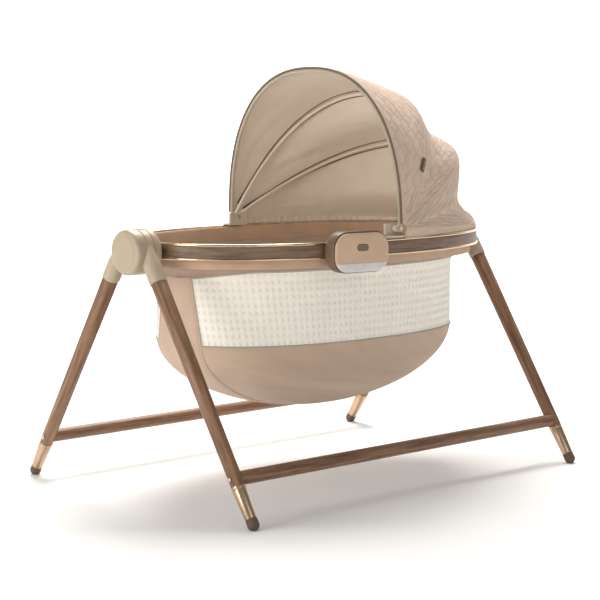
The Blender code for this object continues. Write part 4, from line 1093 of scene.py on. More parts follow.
def declare(piece, grid, wrap=False):
    """States the size of the cut that a piece of cloth is made from, measured along its own grid."""
    closed = np.concatenate([grid, grid[:, :1]], 1) if wrap else grid
    across, along = np.diff(closed, axis=0), np.diff(closed, axis=1)
    length = float(np.linalg.norm(along, axis=-1).sum(1).max())
    width = float(np.linalg.norm(across, axis=-1).sum(0).max())
    area = float(np.linalg.norm(np.cross(across[:, :-1], along[:-1]), axis=-1).sum())
    area = min(area, length * width)
    print(piece.name, "is cut from", round(length, 3), "x", round(width, 3), "m,", round(area, 4), "m2")


print("each piece of cloth prints the size of its cut as it is made")

# %% [markdown]
# ## Band, bowl and end panels
# A plain knit band hangs from the rim. Under the windows the bowl is one stretched piece, and at each end
# a D-shaped panel runs from the band down over the bowl, lapped on top of it with a twin-needle seam.
# Pulling cloth tight over a seam leaves faint puckers, so the cloth carries a slow ripple under half a
# millimetre high.

# %% Band and bowl
BODY_COLUMNS = 420
all_round = even_angles(0, math.tau, BODY_COLUMNS + 1, *body_half, BODY_POWER)[:-1]
rows = np.linspace(0, 1, 14)[:, None]
band_top = rim_bottom - BEAD_RADIUS - 0.0004
heights = mix(window_top(all_round)[None], band_top, rows ** 0.8)
band_grid = wall(np.broadcast_to(all_round, heights.shape), heights)
top_band = shell("knit_band", lifted(band_grid, np.full(heights.shape, 0.0009), True),
                 lifted(band_grid, np.full(heights.shape, -CLOTH), True), BAND_KNIT,
                 carried={"cloth": cloth_lengths(band_grid)}, wrap=True)
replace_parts(top_band, "top_band")

share = np.linspace(0.004, 0.9999, 64)[:, None]
shares = np.broadcast_to(share, (64, BODY_COLUMNS))
bowl_grid = bowl(np.broadcast_to(all_round, shares.shape), shares)
ripple = 0.00025 * np.sin(9 * all_round + 3 * shares) * np.sin(math.pi * shares) ** 2
bowl_cover = shell("bowl_cover", lifted(bowl_grid, ripple, True), lifted(bowl_grid, ripple - CLOTH, True),
                   KNIT, carried={"cloth": cloth_lengths(bowl_grid)}, wrap=True)
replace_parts(bowl_cover, "base_shell")
print("the band is", len(heights), "rows and the bowl", len(shares), "rows of", BODY_COLUMNS, "points")

# %% End panels
PANEL_COLUMNS, UPPER_ROWS, LOWER_ROWS = 44, 34, 48


def end_panel(side):
    """The D-shaped panel at one end, from under the band down over the bowl, and its two seams."""
    middle = 0.0 if side == RIGHT else math.pi
    across = np.linspace(-1, 1, PANEL_COLUMNS)
    upper = np.linspace(band_low + 0.004, window_low, UPPER_ROWS)[:, None]
    angles = middle + across * seam_angle(upper)
    upper_grid = wall(angles, np.broadcast_to(np.minimum(upper, window_top(angles) + 0.003), angles.shape))
    shape = (LOWER_ROWS, PANEL_COLUMNS)
    lower = np.linspace(0.02, 0.93, LOWER_ROWS)[:, None]
    lower_angles = middle + np.broadcast_to(across, shape) * seam_angle(window_low)
    grid = np.concatenate([upper_grid, bowl(lower_angles, np.broadcast_to(lower, shape))])
    down = np.concatenate([np.linspace(0, 1, UPPER_ROWS), np.ones(LOWER_ROWS)])[:, None]
    puff = 0.0011 + 0.0009 * (1 - across ** 6) * np.ones_like(down)
    puff = puff + 0.0004 * np.sin(5 * across + 40 * grid[..., 2]) * (1 - across ** 4)
    inside = mix(-CLOTH, 0.0002, np.clip((down - 0.9) / 0.1, 0, 1)) * np.ones_like(puff)
    panel = shell("end_cover_" + side_names[side], lifted(grid, puff), lifted(grid, inside), KNIT,
                  carried={"cloth": cloth_lengths(grid)})
    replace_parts(panel, "end_panel_" + side_names[side])
    declare(panel, grid)
    outline = lifted(grid, np.full(puff.shape, 0.0023))
    rows_of_thread = [outline[3:, column] for column in (2, PANEL_COLUMNS - 3)]
    return panel, rows_of_thread


end_panels, seam_paths = [], []
for side in (LEFT, RIGHT):
    panel, paths = end_panel(side)
    end_panels.append(panel)
    seam_paths += paths
panel_stitches = stitched("end_panel_stitches", seam_paths)
ride_all("basket", top_band, bowl_cover, panel_stitches, *end_panels)
declare(top_band, band_grid, wrap=True)
declare(bowl_cover, bowl_grid, wrap=True)

# %% [markdown]
# ## The eyelet windows
# Each window is a cream knit with rows of small oval eyelets over fine netting, so air passes through. A
# single cell is a square with one oval hole. A tree copies it over a grid and welds the cells into a flat
# cloth, which is then wrapped onto the wall: its length follows the wall between the two leaning seams,
# so the columns of eyelets lean with them near the ends.


# %% One eyelet and its grid
def eyelet_cell(sides=16, half_wide=0.155, half_tall=0.175, power=1.7):
    """A unit square of cloth, from depth 0 to -1, with an oval hole whose edge is eased."""
    turn = np.linspace(0, math.tau, sides, endpoint=False)
    reach = np.maximum(np.abs(np.cos(turn)), np.abs(np.sin(turn)))
    square = np.stack([np.cos(turn) / reach / 2, np.sin(turn) / reach / 2], -1)
    hole = oval(turn, half_wide, half_tall, power)
    rings = [np.column_stack([square, np.zeros(sides)]), np.column_stack([hole * 1.18, np.zeros(sides)]),
             np.column_stack([hole, np.full(sides, -0.5)]), np.column_stack([square, np.full(sides, -1.0)])]
    mesh = bpy.data.meshes.new("eyelet cell")
    faces = grid_faces(4, sides, True)
    mesh.from_pydata(np.concatenate(rings).tolist(), [], [list(map(int, face)) for face in faces])
    cell = bpy.data.objects.new("eyelet cell", mesh)
    bpy.context.scene.collection.objects.link(cell)
    return cell


def eyelet_tree():
    tree, entry, keys = new_tree("eyelet cloth", {"Columns": "Int", "Rows": "Int", "Cell": "Object",
                                                  "Finish": "Material"})
    size = entry.outputs
    wide, tall = maths(tree, "SUBTRACT", size["Columns"], 1.0), maths(tree, "SUBTRACT", size["Rows"], 1.0)
    grid = add(tree, "GeometryNodeMeshGrid", {"Size X": wide, "Size Y": tall, "Vertices X": size["Columns"],
                                              "Vertices Y": size["Rows"]})
    cell = add(tree, "GeometryNodeObjectInfo", {"Object": size["Cell"]})
    copies = add(tree, "GeometryNodeInstanceOnPoints", {"Points": grid.outputs["Mesh"],
                                                        "Instance": cell.outputs["Geometry"]})
    real = add(tree, "GeometryNodeRealizeInstances", {"Geometry": copies.outputs["Instances"]})
    welded = add(tree, "GeometryNodeMergeByDistance",
                 {"Geometry": real.outputs["Geometry"], "Distance": 0.001})
    close_tree(tree, welded.outputs["Geometry"], entry)
    return tree, keys


EYELETS, EYELET_KEYS = eyelet_tree()
cell = eyelet_cell()
print("one eyelet has", len(cell.data.polygons), "faces")

# %% The windows' place on the walls
EYELET_ALONG, EYELET_UP = 0.0142, 0.0163
WINDOW_CLOTH, NETTING_CLOTH = 0.0009, 0.0016
half_round = even_angles(0, math.pi, 721, *body_half, BODY_POWER)
half_shares = np.linspace(0, 1, len(half_round))
low_share, high_share = np.interp([seam_angle(window_low), seam_angle(band_low)], half_round, half_shares)


def window_place(front, along, up, depth=0.0):
    """A point of a window from shares along and up it, and a distance out of it."""
    start = math.pi if front else 0.0
    height = window_low + (band_low + 0.0035 - window_low) * up
    inset = mix(low_share, high_share, up)
    angle = start + np.interp(mix(inset, 1 - inset, along), half_shares, half_round)
    height = np.minimum(height, window_top(angle) + 0.0015)
    step = 1e-3
    here = wall(angle, height)
    normal = unit(np.cross(wall(angle + step, height) - here, wall(angle, height + step) - here))
    return here + normal * np.broadcast_to(depth, angle.shape)[..., None], normal


middle_row, _ = window_place(True, np.linspace(0, 1, 300), np.full(300, 0.5))
window_length = float(np.linalg.norm(np.diff(middle_row, axis=0), axis=1).sum())
window_columns = round(window_length / EYELET_ALONG)
window_rows = round((band_low - window_low) / EYELET_UP)
print("a window is", round(window_length, 3), "m long and has", window_columns, "x", window_rows, "eyelets")

# %% Windows, netting and bindings
EDGE_STEPS, END_STEPS = 260, 38
window_pieces, window_stitch_paths = [], []
for front, name in ((True, "front"), (False, "back")):
    cloth = grow("eyelet_window_" + name, EYELETS, EYELET_KEYS,
                 {"Columns": window_columns, "Rows": window_rows, "Cell": cell, "Finish": EYELET})
    spots = points_of(cloth.data).astype(float)
    along, up = spots[:, 0] / window_columns + 0.5, spots[:, 1] / window_rows + 0.5
    placed, _ = window_place(front, along, np.clip(up, 0.0, 1.0), spots[:, 2] * WINDOW_CLOTH)
    cloth.data.vertices.foreach_set("co", placed.astype(np.float32).ravel())
    carry(cloth.data, "cloth", np.stack([along * window_length, up * (band_low - window_low), 0 * up], -1))
    cloth.data.update()
    tidy(cloth, 60)
    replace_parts(cloth, "mesh_window_" + name)

    along, up = np.meshgrid(np.linspace(0, 1, 170), np.linspace(0, 1, 16))
    outer, _ = window_place(front, along, up, -0.00098)
    inner, _ = window_place(front, along, up, -NETTING_CLOTH)
    net = shell("window_netting_" + name, outer, inner, NETTING, carried={"cloth": cloth_lengths(outer)})
    declare(cloth, outer)
    declare(net, outer)

    steps = np.linspace(0, 1, EDGE_STEPS)
    rise = np.linspace(0, 1, END_STEPS + 2)[1:-1]
    edge_along = np.concatenate([steps, np.ones(END_STEPS), steps[::-1], np.zeros(END_STEPS)])
    edge_up = np.concatenate([0 * steps, rise, 0 * steps + 0.985, rise[::-1]])
    path, normals = window_place(front, edge_along, edge_up, 0.0009)
    binding = tube("window_binding_" + name, path, 0.0026, BINDING, True, 10, 0.42, normals)
    path, _ = window_place(front, 0.0016 + edge_along * 0.9968, 0.006 + edge_up * 0.97, 0.00215)
    window_stitch_paths.append(path[:EDGE_STEPS + END_STEPS])
    window_pieces += [cloth, net, binding]
bpy.data.objects.remove(cell)
window_stitches = stitched("window_stitches", window_stitch_paths)
ride_all("basket", window_stitches, *window_pieces)
print(window_columns * window_rows, "eyelets in each window, with stitches along its lower edge and one end")

# %% [markdown]
# ## The rim's liner
# Inside the rim a padded strip of knit hides the wood and the heads of the hub axles. It is a thin soft
# roll, so its section is a rounded loop carried round the oval at a steady distance from the band. It is
# worked out directly, because so thin a roll would lose its edges in a remesh and a cloth simulation.

# %% Liner
def rim_offset(inset, angles):
    """Points a steady distance inside the rim's outer line."""
    flat = oval(angles, rim_half_length, rim_half_width, RIM_POWER)
    run = unit(np.roll(flat, -1, 0) - np.roll(flat, 1, 0))
    return flat - np.stack([run[:, 1], -run[:, 0]], -1) * inset


rim_angles = even_angles(0, math.tau, 421, rim_half_length, rim_half_width, RIM_POWER)[:-1]
inner_face = BAND_RECESS + BAND_THICKNESS + 0.0004
liner_outline = [(inner_face, rim_top - 0.0070), (inner_face, rim_top - 0.0015),
                 (inner_face + 0.0015, rim_top + 0.0006), (inner_face + 0.0040, rim_top + 0.0004),
                 (inner_face + 0.0056, rim_top - 0.0030),
                 (inner_face + 0.0062, rim_top - 0.0120), (inner_face + 0.0060, rim_bottom - 0.0040),
                 (inner_face + 0.0052, band_low + 0.0080), (inner_face + 0.0034, band_low + 0.0085),
                 (inner_face + 0.0046, rim_bottom - 0.0040), (inner_face + 0.0040, rim_top - 0.0240),
                 (inner_face + 0.0004, rim_top - 0.0240)]
loops = []
for inset, height in liner_outline + liner_outline[:1]:
    flat = rim_offset(inset, rim_angles)
    puckers = 0.0003 * np.sin(rim_angles * 60) * (height > rim_bottom)
    loops.append(np.column_stack([flat, np.full(len(flat), height) + puckers]))
liner_grid = np.array(loops)
liner = make("rim_liner", liner_grid, grid_faces(len(loops), len(rim_angles), True), LINER,
             {"cloth": cloth_lengths(liner_grid).reshape(-1, 3)}, 70)
subdivide = liner.modifiers.new("soft", "SUBSURF")
subdivide.levels = subdivide.render_levels = 1
applied(liner)
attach(liner, "basket")
print("the liner is", round(float(np.linalg.norm(np.diff(loops[0], axis=0), axis=1).sum()), 2), "m long")

# %% [markdown]
# ## The mattress
# A thin foam mattress in a white jersey cover fills the oval floor. Foam held in a tight cover swells
# between its edges, so the pad starts a little slim, is remeshed, and is blown up by a short cloth
# simulation with a cap on how far any point may move. A piped edge runs round its top.

# %% Mattress
pad_low, pad_high = (np.array(corner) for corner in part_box("mattress"))
PAD_SWELL = 0.0035


def mattress_start():
    """The pad before it swells: an oval with well-rounded edges."""
    half = pad_high - np.array((0, 0, pad_low[2]))
    middle, thick = (pad_low[2] + pad_high[2]) / 2, (pad_high[2] - pad_low[2]) / 2 - PAD_SWELL
    rings = []
    for t in np.linspace(-math.pi / 2, math.pi / 2, 17):
        inset = 0.011 * (1 - math.cos(t)) + 0.002
        flat = oval(all_round, half[0] - inset, half[1] - inset, BODY_POWER)
        rings.append(np.column_stack([flat, np.full(len(flat), middle + thick * math.sin(t))]))
    rings = [rings[0] * np.array((1e-6, 1e-6, 1))] + rings + [rings[-1] * np.array((1e-6, 1e-6, 1))]
    return make("jersey_mattress", np.array(rings), grid_faces(len(rings), BODY_COLUMNS, True), JERSEY)


def swollen(made, pressure, cap, frames=18):
    """Blows a closed pad up as cloth, and keeps the result within a cap of its starting shape."""
    start = points_of(made.data).astype(float)
    cloth = made.modifiers.new("swell", "CLOTH")
    cloth.settings.use_pressure = True
    cloth.settings.uniform_pressure_force = pressure
    cloth.settings.effector_weights.gravity = 0.0
    cloth.settings.mass = 0.2
    cloth.settings.quality = 4
    cloth.collision_settings.use_collision = False
    cloth.point_cache.frame_end = frames
    scene = bpy.context.scene
    for number in range(1, frames + 1):
        scene.frame_set(number)
    graph = bpy.context.evaluated_depsgraph_get()
    blown = bpy.data.meshes.new_from_object(made.evaluated_get(graph))
    made.modifiers.clear()
    scene.frame_set(1)
    move = points_of(blown).astype(float) - start
    far = np.linalg.norm(move, axis=1, keepdims=True)
    move *= np.minimum(1.0, cap / np.maximum(far, 1e-9))
    made.data.vertices.foreach_set("co", (start + move).ravel())
    made.data.update()
    print(made.name, "swelled by up to", round(float(min(far.max(), cap)) * 1000, 1), "mm")


# %% The mattress swells
mattress = mattress_start()
remesh = mattress.modifiers.new("cubes", "REMESH")
remesh.mode, remesh.voxel_size = "VOXEL", 0.0065
applied(mattress)
swollen(mattress, 4.0, PAD_SWELL)
soft = mattress.modifiers.new("soft", "SUBSURF")
soft.levels = soft.render_levels = 1
applied(mattress)
carry(mattress.data, "cloth", points_of(mattress.data))
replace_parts(mattress, "mattress")
piping_line = oval(all_round, pad_high[0] - 0.0050, pad_high[1] - 0.0050, BODY_POWER)
piping_path = np.column_stack([piping_line, np.full(len(piping_line), pad_high[2] - 0.0055)])
piping = tube("mattress_piping", piping_path, 0.0022, JERSEY, True, 10)
ride_all("basket", mattress, piping)
print("mattress:", len(mattress.data.polygons), "faces")

# %% [markdown]
# ## The canopy
# The canopy is one quilted cloth sewn over three bent bows that fan out from a pivot on each side of the
# rim, and a hem that stays on the rim. Between the bows the cloth sags a little. Each point of a panel is
# given its share of the hinge between the two bows that hold it, from 0 at the rear one to 1 at the front one.

# %% Bows read from the frame
CANOPY_POWER = 2.35
BOW_RADIUS, EYE_HALF_WIDTH = 0.004, 0.0025
pivot = np.array(joints["canopy_fold"]["pos_m"])


def bow_from_frame(name):
    """A bow's tilt from upright, its length from the pivot and its half width."""
    low, high = (np.array(corner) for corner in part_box(name + "_bow"))
    front = high[0] - pivot[0] < 0.05
    reach_x = low[0] + BOW_RADIUS - pivot[0] if front else high[0] - BOW_RADIUS - pivot[0]
    reach_z = high[2] - BOW_RADIUS - pivot[2]
    return math.atan2(reach_x, reach_z), math.hypot(reach_x, reach_z), high[1] - EYE_HALF_WIDTH


bows = {name: bow_from_frame(name) for name in ("front", "middle", "rear")}
bows["hem"] = (math.radians(91.6), rim_half_length - pivot[0] - 0.018, rim_half_width - 0.011)
front_half_width = bows["front"][2]
for name, (tilt, length, _) in bows.items():
    print(name, "bow tilts", round(math.degrees(tilt), 1), "degrees,", round(length * 1000), "mm long")


def canopy_point(first, last, share, turn, lift=0.0, sag=0.0, clear_pins=True):
    """Points between two bows: turn runs over the cot from the far pivot, 0, to the near one, pi."""
    tilt, length, half = (mix(one, two, share) for one, two in zip(bows[first], bows[last]))
    if clear_pins:
        near = np.exp(-(np.minimum(turn, math.pi - turn) / 0.16) ** 2)
        half = mix(half, front_half_width, near)
    rise, across = np.sin(turn), np.cos(turn)
    reach = (length + lift - sag) * np.maximum(rise, 0) ** (2 / CANOPY_POWER)
    y = np.sign(across) * (half + lift) * np.abs(across) ** (2 / CANOPY_POWER)
    return np.stack([pivot[0] + reach * np.sin(tilt), y, pivot[2] + reach * np.cos(tilt)], -1)


def even_turns(first, last, count):
    """Turns that space points evenly along a bow."""
    fine = np.linspace(first, last, 6001)
    points = canopy_point("middle", "rear", 0.0, fine)
    lengths = np.concatenate([[0.0], np.cumsum(np.linalg.norm(np.diff(points, axis=0), axis=1))])
    return np.interp(np.linspace(0, lengths[-1], count), lengths, fine)


# %% [markdown]
# ### Quilting
# The cloth is quilted in leaves: two sets of waves, one the mirror of the other, meet at their crests.
# The height falls to a sewn line and swells between lines. It is worked out in metres across the cloth, so
# the leaves keep their size where a panel narrows towards its pivots.

# %% Quilting
LEAF_LENGTH, LEAF_WIDTH = 0.088, 0.030
CANOPY_CLOTH = 0.0030
CANOPY_LIFT = 0.0074
FIRST_TURN = 0.018
CANOPY_ROWS, CANOPY_COLUMNS = 68, 430


def quilting(along, across):
    """Height of the quilted cloth, and how close each point is to a sewn line."""
    swing = LEAF_WIDTH / 2 * np.sin(math.tau * along / LEAF_LENGTH)
    slope = math.pi * LEAF_WIDTH / LEAF_LENGTH * np.cos(math.tau * along / LEAF_LENGTH)
    distance = np.full(np.shape(along), 1.0)
    for line in (across - swing, across + swing):
        off = np.abs((line + LEAF_WIDTH / 2) % LEAF_WIDTH - LEAF_WIDTH / 2) / np.sqrt(1 + slope ** 2)
        distance = np.minimum(distance, off)
    sewn = np.exp(-(distance / 0.0016) ** 2)
    return 0.0011 * (1 - np.exp(-(distance / 0.0048) ** 2)) - 0.0004 * sewn, sewn


def sagging(sag, lean, share, turn):
    """How far cloth hangs in between two bows: deepest halfway, or later with more lean."""
    return sag * np.sin(math.pi * share ** lean) ** 1.2 * np.sin(turn) ** 0.5


print("leaves are", round(LEAF_LENGTH * 1000), "x", round(LEAF_WIDTH * 1000), "mm")


# %% Quilted panels
def normals_from_pivot(grid):
    """Normals of a grid of the canopy, all facing away from its pivot."""
    normals = grid_normals(grid)
    return normals * np.sign(np.sum(normals * (grid - pivot), -1).mean())


def turns_with(made, share):
    """Bakes a piece's placement into its mesh and works out each point's share of a hinge: 1 for the bow in front,
    0 for the one behind.
    """
    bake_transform(made)
    shares = np.broadcast_to(np.asarray(share, np.float32), (len(made.data.vertices),)).copy()


def canopy_panel(name, first, last, sag, lean, node):
    """One quilted panel between two bows, padded outside and lined inside."""
    turns = even_turns(FIRST_TURN, math.pi - FIRST_TURN, CANOPY_COLUMNS)
    share = np.linspace(0, 1, CANOPY_ROWS)[:, None]
    turn = np.broadcast_to(turns, (CANOPY_ROWS, CANOPY_COLUMNS))
    dip = sagging(sag, lean, share, turn)
    from_pivot = np.minimum(turn, math.pi - turn)
    pleats = np.sin(math.tau * 2.6 * share + 2.2 * np.sin(5 * turn))
    dip = dip + 0.0060 * pleats * np.sin(math.pi * share) * np.exp(-((from_pivot - 0.42) / 0.34) ** 2)
    flat = canopy_point(first, last, share, turn, CANOPY_LIFT, dip)
    place = cloth_lengths(flat)
    width = place[-1, :, 1]
    across = place[..., 1] - width / 2
    height, sewn = quilting(place[..., 0], across)
    edge = np.minimum(place[..., 1], width - place[..., 1])
    calm = np.clip(edge / 0.006, 0, 1)
    height = height * calm + 0.0008 * np.exp(-(edge / 0.004) ** 2)
    sewn = np.maximum(sewn * calm, np.exp(-((edge - 0.005) / 0.0012) ** 2))
    normals = normals_from_pivot(flat)
    outer = flat + normals * height[..., None]
    inner = flat - normals * CANOPY_CLOTH
    # The sewn lines, and one 5 mm in from each edge, darken the cloth's colour there as painted shade.
    panel = shell(name, outer, inner, QUILTED, LINING, {"cloth": place, "groove": sewn})
    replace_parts(panel, node)
    shares = np.concatenate([np.broadcast_to(1 - share, turn.shape).ravel()] * 2)
    assert len(panel.data.vertices) == len(shares), "the panel's points were merged"
    turns_with(panel, shares)
    declare(panel, flat)


PANELS = (("front", "middle", "canopy_middle", "canopy_front", 0.012, 1.0),
          ("middle", "rear", "canopy_rear", "canopy_middle", 0.040, 1.0),
          ("rear", "hem", "basket", "canopy_rear", 0.066, 1.36))
for first, last, back_body, front_body, sag, lean in PANELS:
    canopy_panel(f"canopy_{first}_cloth", first, last, sag, lean,
                 f"canopy_{first}_panel")

# %% [markdown]
# ### Skirt and hem
# Behind the last bow a short gathered skirt closes the gap between the canopy and the rim, and a taped hem
# finishes it. Gathers run down the cloth, so the grid's rows are pushed in and out by a wave along them.

# %% Skirt and hem
GATHER_PITCH = 0.019
hem_turns = even_turns(FIRST_TURN, math.pi - FIRST_TURN, CANOPY_COLUMNS)
hem_top = canopy_point("rear", "hem", 1.0, hem_turns, CANOPY_LIFT)
rows = np.linspace(0, 1, 12)[:, None]
rim_rest = rim_top + 0.0012
lengths = np.concatenate([[0.0], np.cumsum(np.linalg.norm(np.diff(hem_top, axis=0), axis=1))])
inwards = unit(hem_top[:, :2] - pivot[:2] * 0.5)
folds = 0.0013 * np.sin(math.tau * lengths / GATHER_PITCH + 1.5 * np.sin(lengths * 37))
skirt_grid = []
for share in rows[:, 0]:
    ring = hem_top.copy()
    ring[:, 2] = mix(hem_top[:, 2], rim_rest, share)
    push = folds * math.sin(math.pi * min(share * 1.1, 1)) - 0.0030 * share
    ring[:, :2] += inwards * push[:, None]
    skirt_grid.append(ring)
skirt_grid = np.array(skirt_grid)
skirt_normals = normals_from_pivot(skirt_grid)
skirt_place = cloth_lengths(skirt_grid)
# Painted shade: the colour darkens in each gather's fold.
painted_gather_shade = 0.35 * np.abs(np.sin(math.tau * skirt_place[..., 0] / GATHER_PITCH))
skirt = shell("canopy_skirt", skirt_grid + skirt_normals * 0.0004, skirt_grid - skirt_normals * 0.0024,
              QUILTED, LINING, {"cloth": skirt_place, "groove": painted_gather_shade})
declare(skirt, skirt_grid)
hem_path = skirt_grid[-1] + np.array((0, 0, 0.0022))
hem_tape = tube("canopy_hem", hem_path, 0.0024, BINDING, sides=10, flat=0.8)
ride_all("basket", skirt, hem_tape)

# %% [markdown]
# ### Bows, sleeves and piping
# The front bow is the hoop that the hand pulls. A brown piping along the cloth's front edge marks it. The
# other two bows run in sleeves sewn inside the lining. Each sleeve is a soft tube round the bent wire, with
# a dark tape on each side where it is sewn to the cloth. All of them flatten into an eye at each pivot,
# where a pin holds them in a small bracket.


# %% Bows
EYE_RADIUS = 0.0078


def join(kept, others):
    """Adds other pieces' meshes to one piece."""
    bm = bmesh.new()
    bm.from_mesh(kept.data)
    for other in others:
        bm.from_mesh(other.data)
        bpy.data.objects.remove(other)
    bm.to_mesh(kept.data)
    bm.free()
    kept.data.shade_smooth()
    kept.data.set_sharp_from_angle(angle=math.radians(50))
    return kept


def bow_piece(name, piece_name, finish_used):
    """A bow with its two flat eyes, each round its pin, as one piece."""
    path = canopy_point(name, name, 0.0, even_turns(0.004, math.pi - 0.004, 260), clear_pins=False)
    half = bows[name][2]
    path[:, 1] = np.clip(path[:, 1], -half, half)
    rod = tube(piece_name, path, BOW_RADIUS, finish_used, sides=14)
    profile = eased([(-EYE_HALF_WIDTH, 0), (-EYE_HALF_WIDTH, EYE_RADIUS), (EYE_HALF_WIDTH, EYE_RADIUS),
                     (EYE_HALF_WIDTH, 0)], 0.0008)
    eyes = []
    for side in (FRONT, REAR):
        points, faces, _ = lathe(profile, (pivot[0], side * half, pivot[2]), (0, side, 0), 40)
        eyes.append(make(f"{piece_name} eye {side}", points, faces, finish_used, {"cloth": points}, 50))
    joined = join(rod, eyes)
    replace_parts(joined, name + "_bow")
    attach(joined, "canopy_" + name)


bow_piece("front", "front_hoop", BINDING)
bow_piece("middle", "middle_sleeve", LINING)
bow_piece("rear", "rear_sleeve", LINING)
print("three bows, each with two eyes")

# %% Front piping, tapes and stitches
edge_path = canopy_point("front", "front", 0.0, even_turns(FIRST_TURN, math.pi - FIRST_TURN, 300),
                         CANOPY_LIFT - 0.0012)
edge_path[:, 0] -= 0.0014
edge_piping = tube("front_edge_piping", edge_path, 0.0027, PIPING, sides=12)
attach(edge_piping, "canopy_front")

for number, (first, last, back_body, front_body, sag, lean) in enumerate(PANELS):
    for share, bow in ((0.052, first), (0.948, last)):
        if bow in ("front", "hem"):
            continue
        turn = even_turns(0.07, math.pi - 0.07, 300)
        dip = sagging(sag, lean, share, turn)
        inside_path = canopy_point(first, last, share, turn, CANOPY_LIFT - CANOPY_CLOTH - 0.0006, dip)
        border = tube(f"{bow}_tape_edge_{number}", inside_path, 0.0013, PIPING, sides=8)
        outside_path = canopy_point(first, last, share, turn, CANOPY_LIFT + 0.0012, dip)
        threads = stitched(f"{bow}_bow_stitches_{number}", [outside_path], 0.0046, 0.0030)
        for made in (border, threads):
            turns_with(made, 1 - share)
for name in ("front", "back"):
    frame["nodes"]["canopy_bracket_" + name].material_slots[0].material = PALE_PLASTIC
    frame["nodes"]["canopy_pivot_pin_" + name].material_slots[0].material = STEEL
print("piping, tapes and stitches follow the bows")

# %% [markdown]
# ### Pull tab
# A small leather tab is sewn on the near side of the canopy, on the line of the middle bow, with a bronze
# bar. Leather is a cut plate with eased edges, laid on the cloth along its own tangent.


# %% Leather tab
def plate(name, outline, levels, place, finish_used, carried=None, sharp=35.0):
    """A plate whose outline (x, z) is drawn in at each level (depth, inset), placed by a function."""
    outline = np.asarray(outline, float)
    run = unit(np.roll(outline, -1, 0) - np.roll(outline, 1, 0))
    outward = np.stack([run[:, 1], -run[:, 0]], -1)
    rings = []
    for depth, inset in levels:
        flat = outline - outward * inset
        rings.append(place(np.column_stack([flat[:, 0], np.full(len(flat), depth), flat[:, 1]])))
    rings = np.array(rings)
    middles = [ring.mean(axis=0, keepdims=True).repeat(len(outline), 0) for ring in (rings[0], rings[-1])]
    rings = np.concatenate([middles[0][None], rings, middles[1][None]])
    return make(name, rings, grid_faces(len(rings), len(outline), True), finish_used, carried, sharp)


def round_corners(half_width, low, high, corner, steps=12, power=2.3):
    """A rectangle with soft round corners, as (x, z) points going round once."""
    points = []
    for sign_x, sign_z, start in ((1, 1, 0), (-1, 1, 90), (-1, -1, 180), (1, -1, 270)):
        turn = np.radians(start + np.linspace(0, 90, steps))
        bend = oval(turn, corner, corner, power)
        points.append(np.stack([sign_x * (half_width - corner) + bend[:, 0],
                                (high - corner if sign_z > 0 else low + corner) + bend[:, 1]], -1))
    return np.concatenate(points)


TAB_TURN = 2.74
tab_turns = TAB_TURN + np.array([-0.01, 0.0, 0.01])
tab_spots = canopy_point("middle", "rear", 0.0, tab_turns, CANOPY_LIFT + 0.0022)
tab_along = unit(tab_spots[2] - tab_spots[0])
tab_side = np.array((math.cos(bows["middle"][0]), 0, -math.sin(bows["middle"][0])))
tab_out = unit(np.cross(tab_along, tab_side))
tab_out *= np.sign(tab_out @ (tab_spots[1] - pivot))


def on_tab(points):
    return tab_spots[1] + points[:, :1] * tab_side + points[:, 1:2] * tab_out + points[:, 2:] * tab_along


tab = plate("leather_tab", round_corners(0.0058, -0.018, 0.018, 0.0040, 6),
            [(0.0, 0.0), (0.0014, 0.0), (0.0020, 0.0006)], on_tab, LEATHER)
bar = plate("tab_bar", round_corners(0.0026, -0.0120, 0.0120, 0.0018, 5),
            [(0.0019, 0.0), (0.0034, 0.0), (0.0041, 0.0007)], on_tab, SATIN_BRONZE)
ride_all("canopy_middle", tab, bar)
print("the tab lies", round(float(tab_spots[1][2]), 3), "m above the floor")

# %% [markdown]
# ## The control unit
# A small battery box that rocks and lights the cot is clamped to the front of the rim. Its brown case is a
# deep rounded shell, and its lid is crowned, split into a beige face above and a frosted light strip
# below, with one pill-shaped button. Each piece is the same rounded outline drawn in at several depths.

# %% The unit's place and case
outwards = -unit(joints["control_press"]["axis"])
sideways = np.array((-outwards[1], outwards[0], 0.0))
button_low, button_high = (np.array(corner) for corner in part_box("control_button"))
case_low, case_high = (np.array(corner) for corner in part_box("control_housing"))
button_middle = (button_low + button_high) / 2
button_mesh = frame["nodes"]["control_button"].data
face_corners = np.array([np.array(vertex.co) for vertex in button_mesh.vertices])
front_plane = float((face_corners @ outwards).max())
CASE_LENGTH = 0.148
case_half = CASE_LENGTH / 2
case_bottom, case_top = case_low[2], case_high[2]
CASE_DEPTH, CASE_CORNER, LID_MARGIN, LID_DEPTH = 0.034, 0.038, 0.0040, 0.0055
face_split = case_bottom + 0.021


def on_unit(points):
    """Points (along, out of the front, height) of the unit, in the object's own frame."""
    middle = button_middle - outwards * float(button_middle @ outwards)
    spot = middle + outwards * front_plane
    out = spot[None] + points[:, :1] * sideways + points[:, 1:2] * outwards
    out[:, 2] = points[:, 2]
    return out


outline = round_corners(case_half, case_bottom, case_top, CASE_CORNER, 18, 2.1)
case_front, case_back = -LID_DEPTH - 0.0003, -LID_DEPTH - 0.0003 - CASE_DEPTH
levels = [(case_back, 0.0060), (case_back + 0.0020, 0.0025), (case_back + 0.0060, 0.0003),
          (case_back + 0.0100, 0.0), (case_front - 0.0030, 0.0), (case_front - 0.0010, 0.0006),
          (case_front, 0.0020), (case_front - 0.0002, 0.0040)]
case = plate("control_case", outline, levels, on_unit, BROWN_PLASTIC, sharp=50)
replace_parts(case, "control_housing")

print("the case is", round(CASE_LENGTH * 1000), "x", round((case_top - case_bottom) * 1000), "mm")

